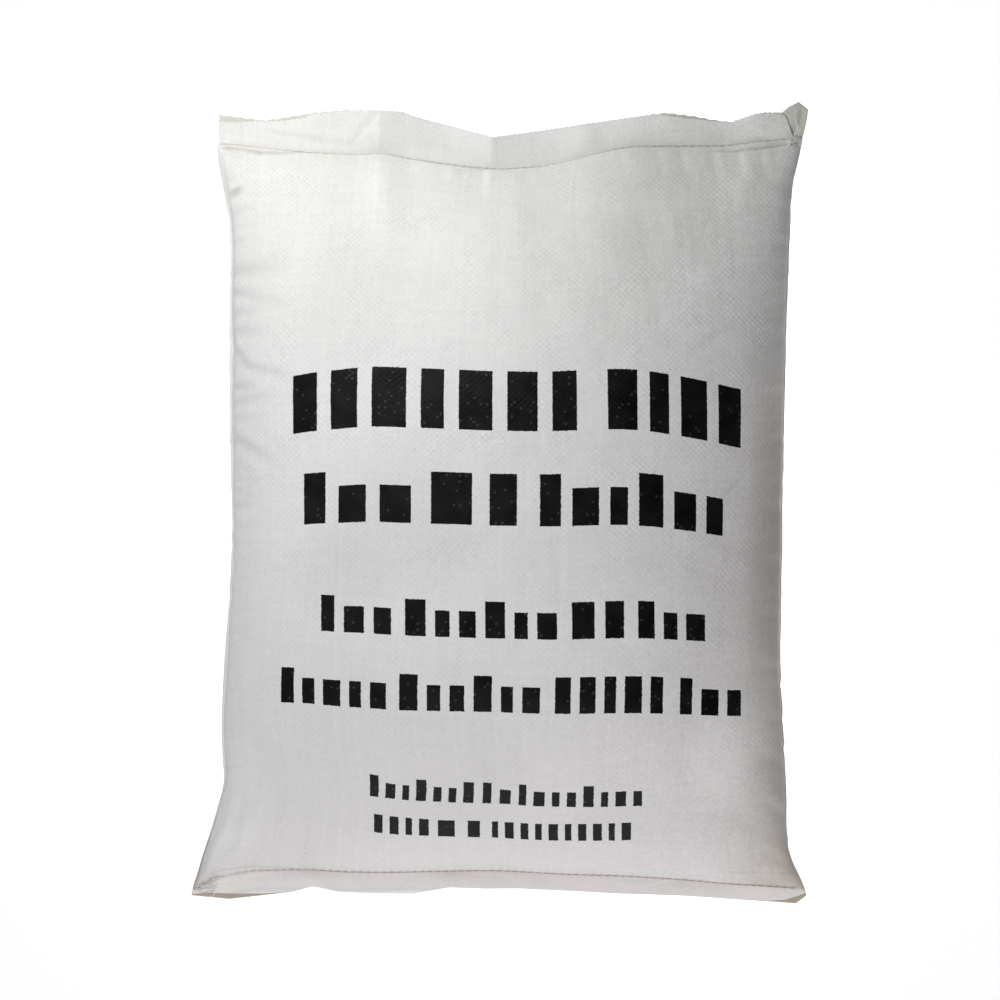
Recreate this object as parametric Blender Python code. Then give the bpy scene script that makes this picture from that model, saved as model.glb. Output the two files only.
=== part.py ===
# A filled woven sack of rice, sewn shut at both ends, lying on its back.
#
# Metres, +Z up.  The sack lies on the floor z = 0 with its printed side up,
# its width along X and its length along Y, the wavy upper hem at +Y.
#
# Pieces:
#   sack                the filled fabric body with the flat hem at each end
#   top_seam_thread     the thread of the upper closing seam
#   bottom_seam_thread  the thread of the lower closing seam

import math

import bmesh
import bpy
import numpy as np

# ---------------------------------------------------------------- dimensions

BODY_RISE = 0.084          # from the widest line up to the crown
BODY_DROP = 0.086          # from the widest line down, before the floor flattens it
WIDEST_Z = 0.058           # height of the widest line over the floor
FLOOR_BLEND = 0.006        # softness of the bend where the fabric meets the floor

TOP_ROUNDING = 0.225       # length over which the upper end rises to the crown
BOTTOM_ROUNDING = 0.160    # the same for the lower, fuller end

SEAM_Z_TOP = 0.050         # height of the upper closing seam
SEAM_Z_BOTTOM = 0.044      # height of the lower closing seam
HEM_THICK = 0.0015         # two layers of fabric, a little slack
SEAM_LAND = 0.0028         # flat strip on each side of a seam
HEM_DROOP_TOP = 0.10       # fall of the upper hem per metre outwards
HEM_DROOP_BOTTOM = 0.55    # fall of the lower hem per metre outwards

HEM_WAVE = 0.0060          # half height of the waves of the upper hem
HEM_WAVE_LENGTH = 0.125    # wave length of the upper hem
HEM_WAVE_BOTTOM = 0.0022
HEM_WAVE_LENGTH_BOTTOM = 0.150

THREAD_RADIUS = 0.0007
CLEARANCE = 0.0003         # gap between the thread and the fabric

COLUMNS = 32               # facets across each side of the sack
BODY_ROWS = 42             # facets along the filled part
HEM_ROWS = 3               # facets along each hem
THREAD_SIDES = 2           # bevel resolution of the thread, eight sides

# Stations along the outline: the distance along Y, and the half width there,
# measured from the sack's long axis to its left and right edge.
LEFT_EDGE = ((-0.3145, 0.2480), (-0.3000, 0.2440), (-0.2680, 0.2330),
             (-0.2280, 0.2215), (-0.1880, 0.2225), (-0.1280, 0.2200),
             (-0.0480, 0.2150), (0.0120, 0.2155), (0.1320, 0.2165),
             (0.2120, 0.2165), (0.2384, 0.2195), (0.2576, 0.2232),
             (0.2864, 0.2254), (0.3130, 0.2240))
RIGHT_EDGE = ((-0.3145, 0.2465), (-0.3000, 0.2400), (-0.2800, 0.2312),
              (-0.2280, 0.2288), (-0.1480, 0.2250), (-0.0880, 0.2252),
              (0.0120, 0.2268), (0.0920, 0.2280), (0.1720, 0.2304),
              (0.2120, 0.2322), (0.2480, 0.2340), (0.2672, 0.2376),
              (0.2864, 0.2424), (0.3150, 0.2490))

# The two closing seams: place across (-1 left edge, 1 right edge) and Y.
TOP_SEAM = ((-1.0, 0.2800), (-0.72, 0.2770), (-0.42, 0.2765), (-0.20, 0.2705),
            (0.0, 0.2660), (0.20, 0.2690), (0.36, 0.2775), (0.55, 0.2845),
            (0.80, 0.2870), (1.0, 0.2920))
BOTTOM_SEAM = ((-1.0, -0.3110), (-0.90, -0.3030), (-0.76, -0.2970),
               (-0.55, -0.2962), (0.0, -0.2968), (0.30, -0.2995),
               (0.65, -0.3035), (0.90, -0.3080), (1.0, -0.3110))

# The cut edge of each hem.
TOP_HEM = ((-1.0, 0.3105), (-0.85, 0.3060), (-0.66, 0.3100), (-0.45, 0.3135),
           (-0.20, 0.3040), (-0.03, 0.2912), (0.16, 0.2965), (0.40, 0.3060),
           (0.57, 0.3112), (0.77, 0.3050), (0.90, 0.3120), (0.97, 0.3206),
           (1.0, 0.3140))
BOTTOM_HEM = ((-1.0, -0.3150), (-0.87, -0.3186), (-0.62, -0.3090),
              (-0.45, -0.3128), (-0.28, -0.3142), (-0.10, -0.3085),
              (0.15, -0.3105), (0.45, -0.3140), (0.75, -0.3180),
              (0.93, -0.3216), (1.0, -0.3150))


# ------------------------------------------------------------------- the form

def smooth(stations, x):
    """Read a smooth curve through a few stations at x."""
    xs = np.array([s[0] for s in stations])
    ys = np.array([s[1] for s in stations])
    slope = np.gradient(ys, xs)
    x = np.clip(np.asarray(x, float), xs[0], xs[-1])
    i = np.clip(np.searchsorted(xs, x, side="right") - 1, 0, len(xs) - 2)
    h = xs[i + 1] - xs[i]
    t = (x - xs[i]) / h
    return ((2 * t**3 - 3 * t**2 + 1) * ys[i] + (t**3 - 2 * t**2 + t) * h * slope[i]
            + (3 * t**2 - 2 * t**3) * ys[i + 1] + (t**3 - t**2) * h * slope[i + 1])


def across(k):
    """Place across the sack, -1 to 1, of column k; closer set at the sides."""
    u = k / COLUMNS
    return -0.5 * math.cos(math.pi * u) + 0.5 * (2.0 * u - 1.0)


def edge_x(s, y):
    """X of the point at place s across, at the distance y along the sack."""
    left = -float(smooth(LEFT_EDGE, y))
    right = float(smooth(RIGHT_EDGE, y))
    return 0.5 * (left + right) + 0.5 * s * (right - left)


def seam_wave(s, top):
    """Height of a closing seam over the floor, with the waves of its hem."""
    x = 0.237 * s
    calm = min(1.0, 5.0 * (1.0 - abs(s))) ** 2
    if top:
        return SEAM_Z_TOP + calm * HEM_WAVE * math.cos(2 * math.pi * (x + 0.104) / HEM_WAVE_LENGTH)
    return SEAM_Z_BOTTOM + calm * HEM_WAVE_BOTTOM * math.cos(2 * math.pi * (x + 0.150) / HEM_WAVE_LENGTH_BOTTOM)


def soft_floor(z):
    """Flatten what would sink below the floor, with a soft bend."""
    if z >= FLOOR_BLEND:
        return z
    if z <= -FLOOR_BLEND:
        return 0.0
    return (z + FLOOR_BLEND) ** 2 / (4.0 * FLOOR_BLEND)


def rise(d, length):
    """Share of the full height at the distance d inwards from a seam."""
    t = min(max(d / length, 0.0), 1.0)
    return math.sin(0.5 * math.pi * t) ** 0.88


def section(s):
    """Share of the full height at place s across."""
    return max(0.0, 1.0 - abs(s) ** 2.25) ** 0.56


def body_point(s, t, side):
    """A point of the filled part: t runs from the lower to the upper seam."""
    y0 = float(smooth(BOTTOM_SEAM, s)) + SEAM_LAND
    y1 = float(smooth(TOP_SEAM, s)) - SEAM_LAND
    y = y0 + t * (y1 - y0)
    z0, z1 = seam_wave(s, False), seam_wave(s, True)
    near0, near1 = y - y0, y1 - y
    full = rise(near0, BOTTOM_ROUNDING) * rise(near1, TOP_ROUNDING)
    fade0 = math.exp(-near0 / 0.030)
    fade1 = math.exp(-near1 / 0.030)
    z = WIDEST_Z + (z0 - WIDEST_Z) * fade0 + (z1 - WIDEST_Z) * fade1
    half = 0.5 * HEM_THICK * min(1.0, 8.0 * (1.0 - abs(s)))
    if side > 0:
        z += half + BODY_RISE * full * section(s)
    else:
        z = soft_floor(z - half - BODY_DROP * full * section(s))
    return (edge_x(s, y), y, z)


def hem_point(s, r, side, top):
    """A point of a hem: r runs from the seam's strip to the cut edge."""
    half = 0.5 * HEM_THICK * min(1.0, 8.0 * (1.0 - abs(s)))
    sign = 1.0 if top else -1.0
    seam = float(smooth(TOP_SEAM if top else BOTTOM_SEAM, s))
    edge = float(smooth(TOP_HEM if top else BOTTOM_HEM, s))
    start = seam + sign * SEAM_LAND
    y = start + r * (edge - start)
    droop = HEM_DROOP_TOP if top else HEM_DROOP_BOTTOM
    z = seam_wave(s, top) - droop * abs(y - start)
    return (edge_x(s, y), y, z + side * half)


def row_points(place):
    """One ring round the sack: the front from left to right, then the back."""
    ring = []
    for side, columns in ((1, range(COLUMNS + 1)), (-1, range(COLUMNS - 1, 0, -1))):
        for k in columns:
            ring.append(place(across(k), side))
    return ring


def build_sack():
    rows = []
    for j in range(HEM_ROWS, -1, -1):
        rows.append(row_points(lambda s, side: hem_point(s, j / HEM_ROWS, side, False)))
    for j in range(BODY_ROWS + 1):
        u = j / BODY_ROWS
        t = 0.5 * u + 0.25 * (1.0 - math.cos(math.pi * u))     # closer set at the ends
        rows.append(row_points(lambda s, side: body_point(s, t, side)))
    for j in range(HEM_ROWS + 1):
        rows.append(row_points(lambda s, side: hem_point(s, j / HEM_ROWS, side, True)))

    bm = bmesh.new()
    rings = [[bm.verts.new(p) for p in row] for row in rows]
    count = 2 * COLUMNS
    for a, b in zip(rings[:-1], rings[1:]):
        for k in range(count):
            n = (k + 1) % count
            bm.faces.new((a[k], b[k], b[n], a[n]))
    for ring in (rings[0], rings[-1]):                         # the cut edges
        for k in range(COLUMNS):
            back_a, back_b = ring[(count - k) % count], ring[(count - k - 1) % count]
            corners = [ring[k], ring[k + 1]]
            for v in (back_b, back_a):
                if v not in corners:
                    corners.append(v)
            bm.faces.new(corners)
    bmesh.ops.triangulate(bm, faces=bm.faces[:])
    bmesh.ops.recalc_face_normals(bm, faces=bm.faces[:])
    mesh = bpy.data.meshes.new("sack")
    bm.to_mesh(mesh)
    bm.free()
    mesh.polygons.foreach_set("use_smooth", [True] * len(mesh.polygons))
    return mesh


def seam_points(top):
    """The thread's way: along the front, round the side, back underneath."""
    seam = TOP_SEAM if top else BOTTOM_SEAM
    lift = 0.5 * HEM_THICK + CLEARANCE + THREAD_RADIUS
    points = []
    for side, columns in ((1, range(COLUMNS + 1)), (-1, range(COLUMNS, -1, -1))):
        for k in columns:
            s = across(k)
            y = float(smooth(seam, s))
            points.append((edge_x(s, y), y, seam_wave(s, top) + side * lift))
        s = float(side)
        y = float(smooth(seam, s))
        points.append((edge_x(s, y) + s * 1.05 * lift, y, seam_wave(s, top)))
    return points


def build_thread(name, top, shift):
    curve = bpy.data.curves.new(name, "CURVE")
    curve.dimensions = "3D"
    curve.bevel_depth = THREAD_RADIUS
    curve.bevel_resolution = THREAD_SIDES
    curve.use_fill_caps = True
    points = seam_points(top)
    spline = curve.splines.new("POLY")
    spline.points.add(len(points) - 1)
    for target, (x, y, z) in zip(spline.points, points):
        target.co = (x + shift[0], y + shift[1], z + shift[2], 1.0)
    spline.use_cyclic_u = True
    return curve


def material(name, colour, roughness, metallic=0.0):
    mat = bpy.data.materials.new(name)
    mat.use_nodes = True
    shader = next(n for n in mat.node_tree.nodes if n.type == "BSDF_PRINCIPLED")
    shader.inputs["Base Color"].default_value = (*colour, 1.0)
    shader.inputs["Roughness"].default_value = roughness
    shader.inputs["Metallic"].default_value = metallic
    mat.diffuse_color = (*colour, 1.0)
    return mat


def place(name, data, mat):
    obj = bpy.data.objects.new(name, data)
    bpy.context.scene.collection.objects.link(obj)
    data.materials.append(mat)
    return obj


def main():
    for obj in list(bpy.data.objects):
        bpy.data.objects.remove(obj, do_unlink=True)

    fabric = material("woven_polypropylene", (0.80, 0.80, 0.79), 0.42)
    thread = material("sewing_thread", (0.86, 0.85, 0.81), 0.65)

    mesh = build_sack()
    co = np.empty(3 * len(mesh.vertices))
    mesh.vertices.foreach_get("co", co)
    co = co.reshape(-1, 3)
    low, high = co.min(axis=0), co.max(axis=0)
    shift = (-0.5 * (low[0] + high[0]), -0.5 * (low[1] + high[1]), -low[2])
    co += np.array(shift)                    # the box stands centred on the origin
    mesh.vertices.foreach_set("co", co.ravel())
    mesh.update()

    place("sack", mesh, fabric)
    place("top_seam_thread", build_thread("top_seam_thread", True, shift), thread)
    place("bottom_seam_thread", build_thread("bottom_seam_thread", False, shift), thread)


main()
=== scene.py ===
# Looks of the filled woven sack of rice, lying on its back, seen from above.
import math

import bmesh
import bpy
import numpy as np
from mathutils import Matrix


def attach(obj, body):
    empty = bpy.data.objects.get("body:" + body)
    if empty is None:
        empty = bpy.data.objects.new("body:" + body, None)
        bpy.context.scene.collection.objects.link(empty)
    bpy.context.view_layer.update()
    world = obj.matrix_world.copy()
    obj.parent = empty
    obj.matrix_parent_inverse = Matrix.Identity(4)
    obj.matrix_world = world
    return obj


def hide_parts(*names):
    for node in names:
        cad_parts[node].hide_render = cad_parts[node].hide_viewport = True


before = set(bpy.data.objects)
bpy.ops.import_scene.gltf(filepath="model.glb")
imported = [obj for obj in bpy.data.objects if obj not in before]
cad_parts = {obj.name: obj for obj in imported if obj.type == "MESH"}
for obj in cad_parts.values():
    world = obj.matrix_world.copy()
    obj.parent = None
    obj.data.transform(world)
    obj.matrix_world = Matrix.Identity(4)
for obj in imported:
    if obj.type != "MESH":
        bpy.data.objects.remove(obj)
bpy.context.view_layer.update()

# ------------------------------------------------------------------ sizes
# Places across and along the sack are given in the photograph's pixels where
# they were read there: PX metres each, with the middle of the frame on the
# sack's middle.

PX = 0.0008

SACK_WIDTH = 0.4930        # the flat sack, from fold to fold
SACK_LENGTH = 0.6080       # the fabric between the two closing seams
WARP_PITCH = 0.00245       # tapes across the sack
WEFT_PITCH = 0.00228       # tapes along it

WIDEST_Z = 0.058
BODY_RISE = 0.084
BODY_DROP = 0.086
TOP_ROUNDING = 0.225
BOTTOM_ROUNDING = 0.160
SEAM_Z_TOP = 0.050
SEAM_Z_BOTTOM = 0.044
FABRIC = 0.00035           # thickness of one layer of fabric
LAYER_GAP = 0.0004         # half the gap between the two layers at a seam

COLS = 144                 # columns over each side of the sack while it settles
ROWS = 180                 # rows along the filled part while it settles
FRONT_COLS = 250           # the finished mesh: columns over the front,
BACK_COLS = 110            # over the back,
FINE_ROWS = 250            # and rows along it

CAMERA_HEIGHT = 2.6


def X(px):
    return (np.asarray(px, float) - 500.0) * PX


def Y(py):
    return (500.0 - np.asarray(py, float)) * PX


def curve(stations, x):
    """A smooth curve through a few stations, read at x."""
    xs = np.array([s[0] for s in stations], float)
    ys = np.array([s[1] for s in stations], float)
    slope = np.gradient(ys, xs)
    x = np.clip(np.asarray(x, float), xs[0], xs[-1])
    i = np.clip(np.searchsorted(xs, x, side="right") - 1, 0, len(xs) - 2)
    h = xs[i + 1] - xs[i]
    t = (x - xs[i]) / h
    return ((2 * t**3 - 3 * t**2 + 1) * ys[i] + (t**3 - 2 * t**2 + t) * h * slope[i]
            + (3 * t**2 - 2 * t**3) * ys[i + 1] + (t**3 - t**2) * h * slope[i + 1])


def straight(stations, x):
    """The same with straight runs, for creased edges."""
    return np.interp(x, [s[0] for s in stations], [s[1] for s in stations])


def bump(x, centre, width):
    return np.exp(-((x - centre) / width) ** 2)


# Outline of the body and hems: pixel row, pixel column of the edge.
LEFT = ((105, 220), (142, 218), (154, 218), (166, 219.5), (178, 222), (202, 226.5),
        (235, 229.8), (285, 230), (385, 229.5), (435, 230), (485, 231), (535, 232),
        (585, 230), (635, 226.5), (685, 223), (735, 221.5), (760, 222.5), (785, 223.5),
        (810, 217.5), (835, 210), (850, 205), (862, 201), (878, 196), (893, 190.5), (905, 188))
RIGHT = ((90, 813), (106, 811), (118, 809), (142, 803), (154, 800), (166, 797), (178, 794),
         (202, 791), (235, 790), (285, 788), (385, 785), (485, 783), (560, 782), (610, 781),
         (685, 781), (735, 783.5), (785, 786), (835, 787.5), (850, 789), (862, 792),
         (878, 800), (890, 806), (900, 809))

# The closing seams: pixel column, pixel row.
TOP_SEAM = ((218, 142), (235, 143.6), (253, 145.8), (275, 148.2), (300, 150.4), (330, 152.4), (360, 153.5), (382, 152.6), (413, 158),
            (447, 163), (479, 166.5), (500, 168), (521, 167), (542, 165.5), (578, 158),
            (594, 153.5), (627, 146.5), (665, 144.7), (700, 144.2), (736, 143), (755, 140),
            (783, 137), (804, 134))
BOTTOM_SEAM = ((192, 890), (200, 886.5), (210, 880.5), (226, 875.7), (249, 871.5), (272, 870.4),
               (309, 870), (341, 872), (387, 872.7), (432, 871.8), (500, 871), (534, 872.7),
               (569, 874.5), (638, 877), (684, 880), (730, 884), (775, 887), (806, 889))


def lengthened(table, share):
    """The foot lies lower than the middle, so that it is seen a little smaller."""
    return tuple((x, 500.0 + (y - 500.0) * share) for x, y in table)


BOTTOM_SEAM = lengthened(BOTTOM_SEAM, 1.0052)


def left_x(y):
    return X(curve(LEFT, 500.0 - y / PX))


def right_x(y):
    return X(curve(RIGHT, 500.0 - y / PX))


def across_x(s, y):
    """X of place s, -1 at the left edge and 1 at the right one."""
    a, b = left_x(y), right_x(y)
    return 0.5 * (a + b) + 0.5 * s * (b - a)


def seam_y(s, top):
    x = 500.0 + s * (293.0 if top else 307.0) + (11.0 if top else -1.0)
    return Y(curve(TOP_SEAM if top else BOTTOM_SEAM, x))


# Height of the hems' soft waves over the seam's own height, in millimetres, and
# their sharp creases: pixel column, height, and how far each side runs out.
TOP_WAVES = ((218, 0.0), (265, -0.8), (305, 0.0), (345, 1.6), (379, 3.2), (412, 0.8),
             (447, -1.0), (470, 0.2), (492, 1.6), (520, 0.3), (556, -0.7), (585, 0.5),
             (610, -0.3), (640, 0.8), (670, 1.5), (700, 0.4), (735, -1.3), (762, 0.2),
             (788, 1.0), (812, 0.0))
TOP_CREASES = ((379.0, 2.6, 20.0, 34.0), (492.0, 1.7, 26.0, 14.0))
BOTTOM_WAVES = ((190, 0.0), (240, 1.0), (311, 2.4), (350, 0.4), (412, -0.8), (449, 1.4),
                (520, 0.4), (600, -0.6), (684, 0.6), (740, -0.4), (808, 0.0))
BOTTOM_CREASES = ((311.0, 1.0, 16.0, 12.0), (449.0, 0.8, 20.0, 14.0))


def soft_wave(px, top):
    return 0.001 * curve(TOP_WAVES if top else BOTTOM_WAVES, px)


def crease_wave(px, top):
    total = 0.0 * px
    for at, height, left, right in (TOP_CREASES if top else BOTTOM_CREASES):
        off = px - at
        total = total + height * np.where(off < 0, np.exp(off / left), np.exp(-off / right))
    return 0.001 * total


def seam_z(s, top):
    px = 500.0 + s * (293.0 if top else 307.0) + (11.0 if top else -1.0)
    calm = np.minimum(1.0, 8.0 * (1.0 - np.abs(s)))
    # the upper right corner hangs lower
    droop = 0.013 * np.clip((px - 590.0) / 220.0, 0.0, 1.0) ** 1.6 if top else 0.0
    return ((SEAM_Z_TOP if top else SEAM_Z_BOTTOM) - droop
            + calm * ((0.05 if top else 0.4) * soft_wave(px, top) + 0.01 * crease_wave(px, top)))


# ------------------------------------------------- the form that guides it

def soft_floor(z, blend=0.006):
    return np.where(z >= blend, z, np.where(z <= -blend, 0.0, (z + blend) ** 2 / (4 * blend)))


def rise(d, length, power=0.88):
    t = np.clip(d / length, 0.0, 1.0)
    return np.sin(0.5 * math.pi * t) ** power


def section(s, crown=0.0):
    """Share of the height across; crown moves the highest line off the middle."""
    s = np.where(s < crown, (s - crown) / (1.0 + crown), (s - crown) / (1.0 - crown))
    return np.maximum(0.0, 1.0 - np.abs(s) ** 2.25) ** 0.56


def guide_point(s, t, side):
    y0, y1 = seam_y(s, False), seam_y(s, True)
    y = y0 + t * (y1 - y0)
    z0, z1 = seam_z(s, False), seam_z(s, True)
    near0, near1 = y - y0, y1 - y
    full = rise(near0, BOTTOM_ROUNDING) * rise(near1, TOP_ROUNDING, 0.74)
    z = (WIDEST_Z + (z0 - WIDEST_Z) * np.exp(-near0 / 0.030)
         + (z1 - WIDEST_Z) * np.exp(-near1 / 0.030))
    if side > 0:
        # the rice lies a little to the left in the upper part
        crown = -0.26 * np.clip((0.30 - near1) / 0.26, 0.0, 1.0) + 0.0 * s
        z = z + BODY_RISE * full * section(s, crown)
    else:
        z = soft_floor(z - BODY_DROP * full * section(s))
    return np.stack([across_x(s, y), y, z], axis=-1)


def resample(points, count):
    """Even steps along polylines: points [n, m, 3] run along axis 0."""
    d = np.linalg.norm(np.diff(points, axis=0), axis=2)
    total = np.vstack([np.zeros(points.shape[1]), np.cumsum(d, axis=0)])
    out = np.empty((count + 1, points.shape[1], 3))
    u = np.linspace(0.0, 1.0, count + 1)
    for k in range(points.shape[1]):
        at = total[:, k] / total[-1, k]
        for axis in range(3):
            out[:, k, axis] = np.interp(u, at, points[:, k, axis])
    return out


def guide_grid():
    """The guiding form as rings [ROWS + 1, 2 COLS, 3], evenly spaced."""
    fine_s = -np.cos(np.linspace(0.0, math.pi, 4 * COLS + 1))
    fine_t = np.linspace(0.0, 1.0, 3 * ROWS + 1)
    sides = []
    for side in (1, -1):
        grid = guide_point(fine_s[None, :], fine_t[:, None], side)
        grid = resample(np.swapaxes(grid, 0, 1), COLS)          # [COLS + 1, rows, 3]
        grid = resample(np.swapaxes(grid, 0, 1), ROWS)          # [ROWS + 1, COLS + 1, 3]
        sides.append(grid)
    front, back = sides
    edge = 0.5 * (front[:, [0, -1]] + back[:, [0, -1]])
    front[:, [0, -1]] = back[:, [0, -1]] = edge
    return np.concatenate([front, back[:, -2:0:-1]], axis=1)


# ------------------------------------------------------- relaxing the cloth

def ring_laplacian(d):
    out = 0.25 * (np.roll(d, 1, axis=1) + np.roll(d, -1, axis=1)) - d
    out[1:-1] += 0.25 * (d[2:] + d[:-2])
    out[0] += 0.5 * d[0]
    out[-1] += 0.5 * d[-1]
    return out


def normals_of(x):
    du = np.roll(x, -1, axis=1) - np.roll(x, 1, axis=1)
    dv = np.empty_like(x)
    dv[1:-1] = x[2:] - x[:-2]
    dv[0] = x[1] - x[0]
    dv[-1] = x[-1] - x[-2]
    n = np.cross(du, dv)
    return n / (np.linalg.norm(n, axis=2, keepdims=True) + 1e-12)


def relax(guide, dents, rounds=420, hold=0.014, smooth=0.10):
    """Give the fabric its true length everywhere, close to the guiding form.

    Where the fabric is longer than the form it buckles into puckers, which
    start at the given dents.
    """
    du, dv = SACK_WIDTH / COLS, SACK_LENGTH / ROWS
    diag = math.hypot(du, dv)
    x = guide + dents[..., None] * normals_of(guide)
    ends = (guide[0].copy(), guide[-1].copy())
    fold = np.zeros((1, 2 * COLS, 1))
    fold[:, 0] = fold[:, COLS] = 1.0
    near_fold = np.maximum(np.exp(-(np.minimum(np.arange(2 * COLS), 2 * COLS - np.arange(2 * COLS)) / 3.0) ** 2),
                           np.exp(-((np.arange(2 * COLS) - COLS) / 3.0) ** 2))[None, :]

    def pull(a, b, length, k):
        d = b - a
        size = np.sqrt((d * d).sum(-1)) + 1e-12
        return (0.5 * k) * ((size - length) / size)[..., None] * d

    for n in range(rounds):
        for o in (0, 1):                                        # along the sack
            a, b = x[o:ROWS:2], x[o + 1:ROWS + 1:2]
            m = min(len(a), len(b))
            c = pull(a[:m], b[:m], dv, 1.0)
            a[:m] += c
            b[:m] -= c
        c = pull(x[:, 0::2], x[:, 1::2], du, 1.0)               # round it
        x[:, 0::2] += c
        x[:, 1::2] -= c
        c = pull(x[:, 1::2], np.roll(x, -1, axis=1)[:, 1::2], du, 1.0)
        x[:, 1::2] += c
        x[:, 0::2] -= np.roll(c, 1, axis=1)
        right = np.roll(x, -1, axis=1)                          # against shear
        c1 = pull(x[:-1], right[1:], diag, 0.12)
        c2 = pull(x[1:], right[:-1], diag, 0.12)
        x[:-1] += c1
        x[1:] -= np.roll(c1, 1, axis=1)
        x[1:] += c2
        x[:-1] -= np.roll(c2, 1, axis=1)
        off = x - guide
        lap = ring_laplacian(off)
        x += smooth * lap - 0.35 * ring_laplacian(lap)
        off = x - guide
        x -= hold * off
        x[..., 0] -= 0.10 * near_fold * off[..., 0]
        x[..., 2] = np.where(guide[..., 2] < 0.012, np.maximum(x[..., 2], 0.0), x[..., 2])
        x[0], x[-1] = ends
    x[..., 2] = np.maximum(x[..., 2], 0.0)
    return x


def dent_field():
    """Where the puckers start, in metres of push along the normal."""
    rng = np.random.default_rng(7)
    v = np.linspace(0.0, 1.0, ROWS + 1)[:, None]
    k = np.arange(2 * COLS)[None, :]
    u = np.where(k <= COLS, k, 2 * COLS - k) / COLS            # 0 left fold, 1 right fold
    front = (k <= COLS) * 1.0
    y = 888.0 - v * 738.0                                       # rough pixel row
    x = 225.0 + u * 565.0                                       # rough pixel column
    d = np.zeros(v.shape[:1] + (2 * COLS,))
    # left side: short puckers that run in from the fold
    for py, reach, depth, lean in ((190, 14, 2.2, 0.10), (232, 12, 0.8, 0.0), (270, 40, 1.3, 0.10),
                                   (293, 16, 0.9, 0.0), (330, 20, 0.6, 0.0), (356, 40, 1.5, 0.35),
                                   (405, 24, 0.7, 0.1), (448, 42, 1.6, 0.45), (520, 30, 0.6, 0.2),
                                   (590, 22, 0.6, 0.1), (650, 26, 0.5, -0.2), (720, 30, 0.9, -0.4),
                                   (790, 26, 1.2, -0.7)):
        yy = py - lean * (x - 230.0)
        d -= 0.001 * depth * front * bump(y, yy, 7.0) * np.exp(-np.maximum(x - 232.0, 0) / reach)
        d += 0.0006 * depth * front * bump(y, yy + 14.0, 7.0) * np.exp(-np.maximum(x - 232.0, 0) / reach)
    # right side
    for py, reach, depth, lean in ((180, 20, 1.2, -0.2), (250, 20, 0.6, 0.0), (330, 46, 1.0, -0.35),
                                   (372, 24, 0.7, 0.0), (425, 20, 0.7, -0.2), (482, 44, 1.3, -0.6),
                                   (540, 24, 0.7, -0.2), (600, 22, 0.6, 0.0), (668, 26, 0.8, 0.2),
                                   (730, 24, 0.9, 0.4), (800, 30, 1.2, 0.6)):
        yy = py - lean * (x - 785.0)
        d -= 0.001 * depth * front * bump(y, yy, 8.0) * np.exp(-np.maximum(783.0 - x, 0) / reach)
    # the back has its own, at other places
    for n in range(12):
        py = 170.0 + 58.0 * n + rng.uniform(-12, 12)
        depth, reach = rng.uniform(0.5, 1.6), rng.uniform(20, 55)
        d -= 0.001 * depth * (1 - front) * bump(y, py + rng.uniform(-0.3, 0.3) * (x - 230), 9.0) * np.exp(-np.maximum(x - 232.0, 0) / reach)
        py += rng.uniform(-20, 20)
        d -= 0.001 * depth * (1 - front) * bump(y, py + rng.uniform(-0.3, 0.3) * (785 - x), 9.0) * np.exp(-np.maximum(783.0 - x, 0) / reach)
    # small folds that run down from the upper seam and up from the lower one
    for px in np.arange(246, 790, 21.0):
        a = rng.uniform(0.2, 0.9)
        p = px + rng.uniform(-6, 6)
        fall = np.exp(-np.maximum(y - 152.0, 0) / rng.uniform(14, 34))
        d -= 0.0010 * a * bump(x, p, 6.5) * fall
        a = rng.uniform(0.1, 0.6)
        fall = np.exp(-np.maximum(872.0 - y, 0) / rng.uniform(10, 24))
        d -= 0.0010 * a * bump(x, p + 9, 7.0) * fall
    d += 0.00025 * rng.standard_normal(d.shape)
    return d


# ----------------------------------------------- the finished, finer surface

def spline_rows(x, at):
    """Rows of x at fractional places, on a smooth curve through them."""
    n = len(x) - 1
    i = np.clip(np.floor(at).astype(int), 0, n - 1)
    t = (at - i).reshape((-1,) + (1,) * (x.ndim - 1))
    p0, p1 = x[np.clip(i - 1, 0, n)], x[i]
    p2, p3 = x[i + 1], x[np.clip(i + 2, 0, n)]
    return 0.5 * (2 * p1 + (p2 - p0) * t + (2 * p0 - 5 * p1 + 4 * p2 - p3) * t**2
                  + (3 * p1 - p0 - 3 * p2 + p3) * t**3)


ROW_SHARE = np.linspace(0.0, 1.0, FINE_ROWS + 1)
ROW_SHARE = ROW_SHARE - 0.20 * np.sin(2 * math.pi * ROW_SHARE) / (2 * math.pi)
RING_U = np.concatenate([np.linspace(0.0, 1.0, FRONT_COLS + 1),
                         1.0 + np.linspace(0.0, 1.0, BACK_COLS + 1)[1:-1]])


def refine(x):
    x = spline_rows(x, ROW_SHARE * ROWS)
    ring = np.swapaxes(np.concatenate([x[:, -1:], x, x[:, :2]], axis=1), 0, 1)
    return np.swapaxes(spline_rows(ring, 1.0 + RING_U * COLS), 0, 1).copy()


def pixel_of(p):
    """Where points lie in the photograph, seen from above."""
    k = (CAMERA_HEIGHT - WIDEST_Z) / (CAMERA_HEIGHT - p[..., 2]) / PX
    return 500.0 + p[..., 0] * k, 500.0 - p[..., 1] * k


def ease(a, b, x):
    t = np.clip((x - a) / (b - a), 0.0, 1.0)
    return t * t * (3.0 - 2.0 * t)


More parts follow.
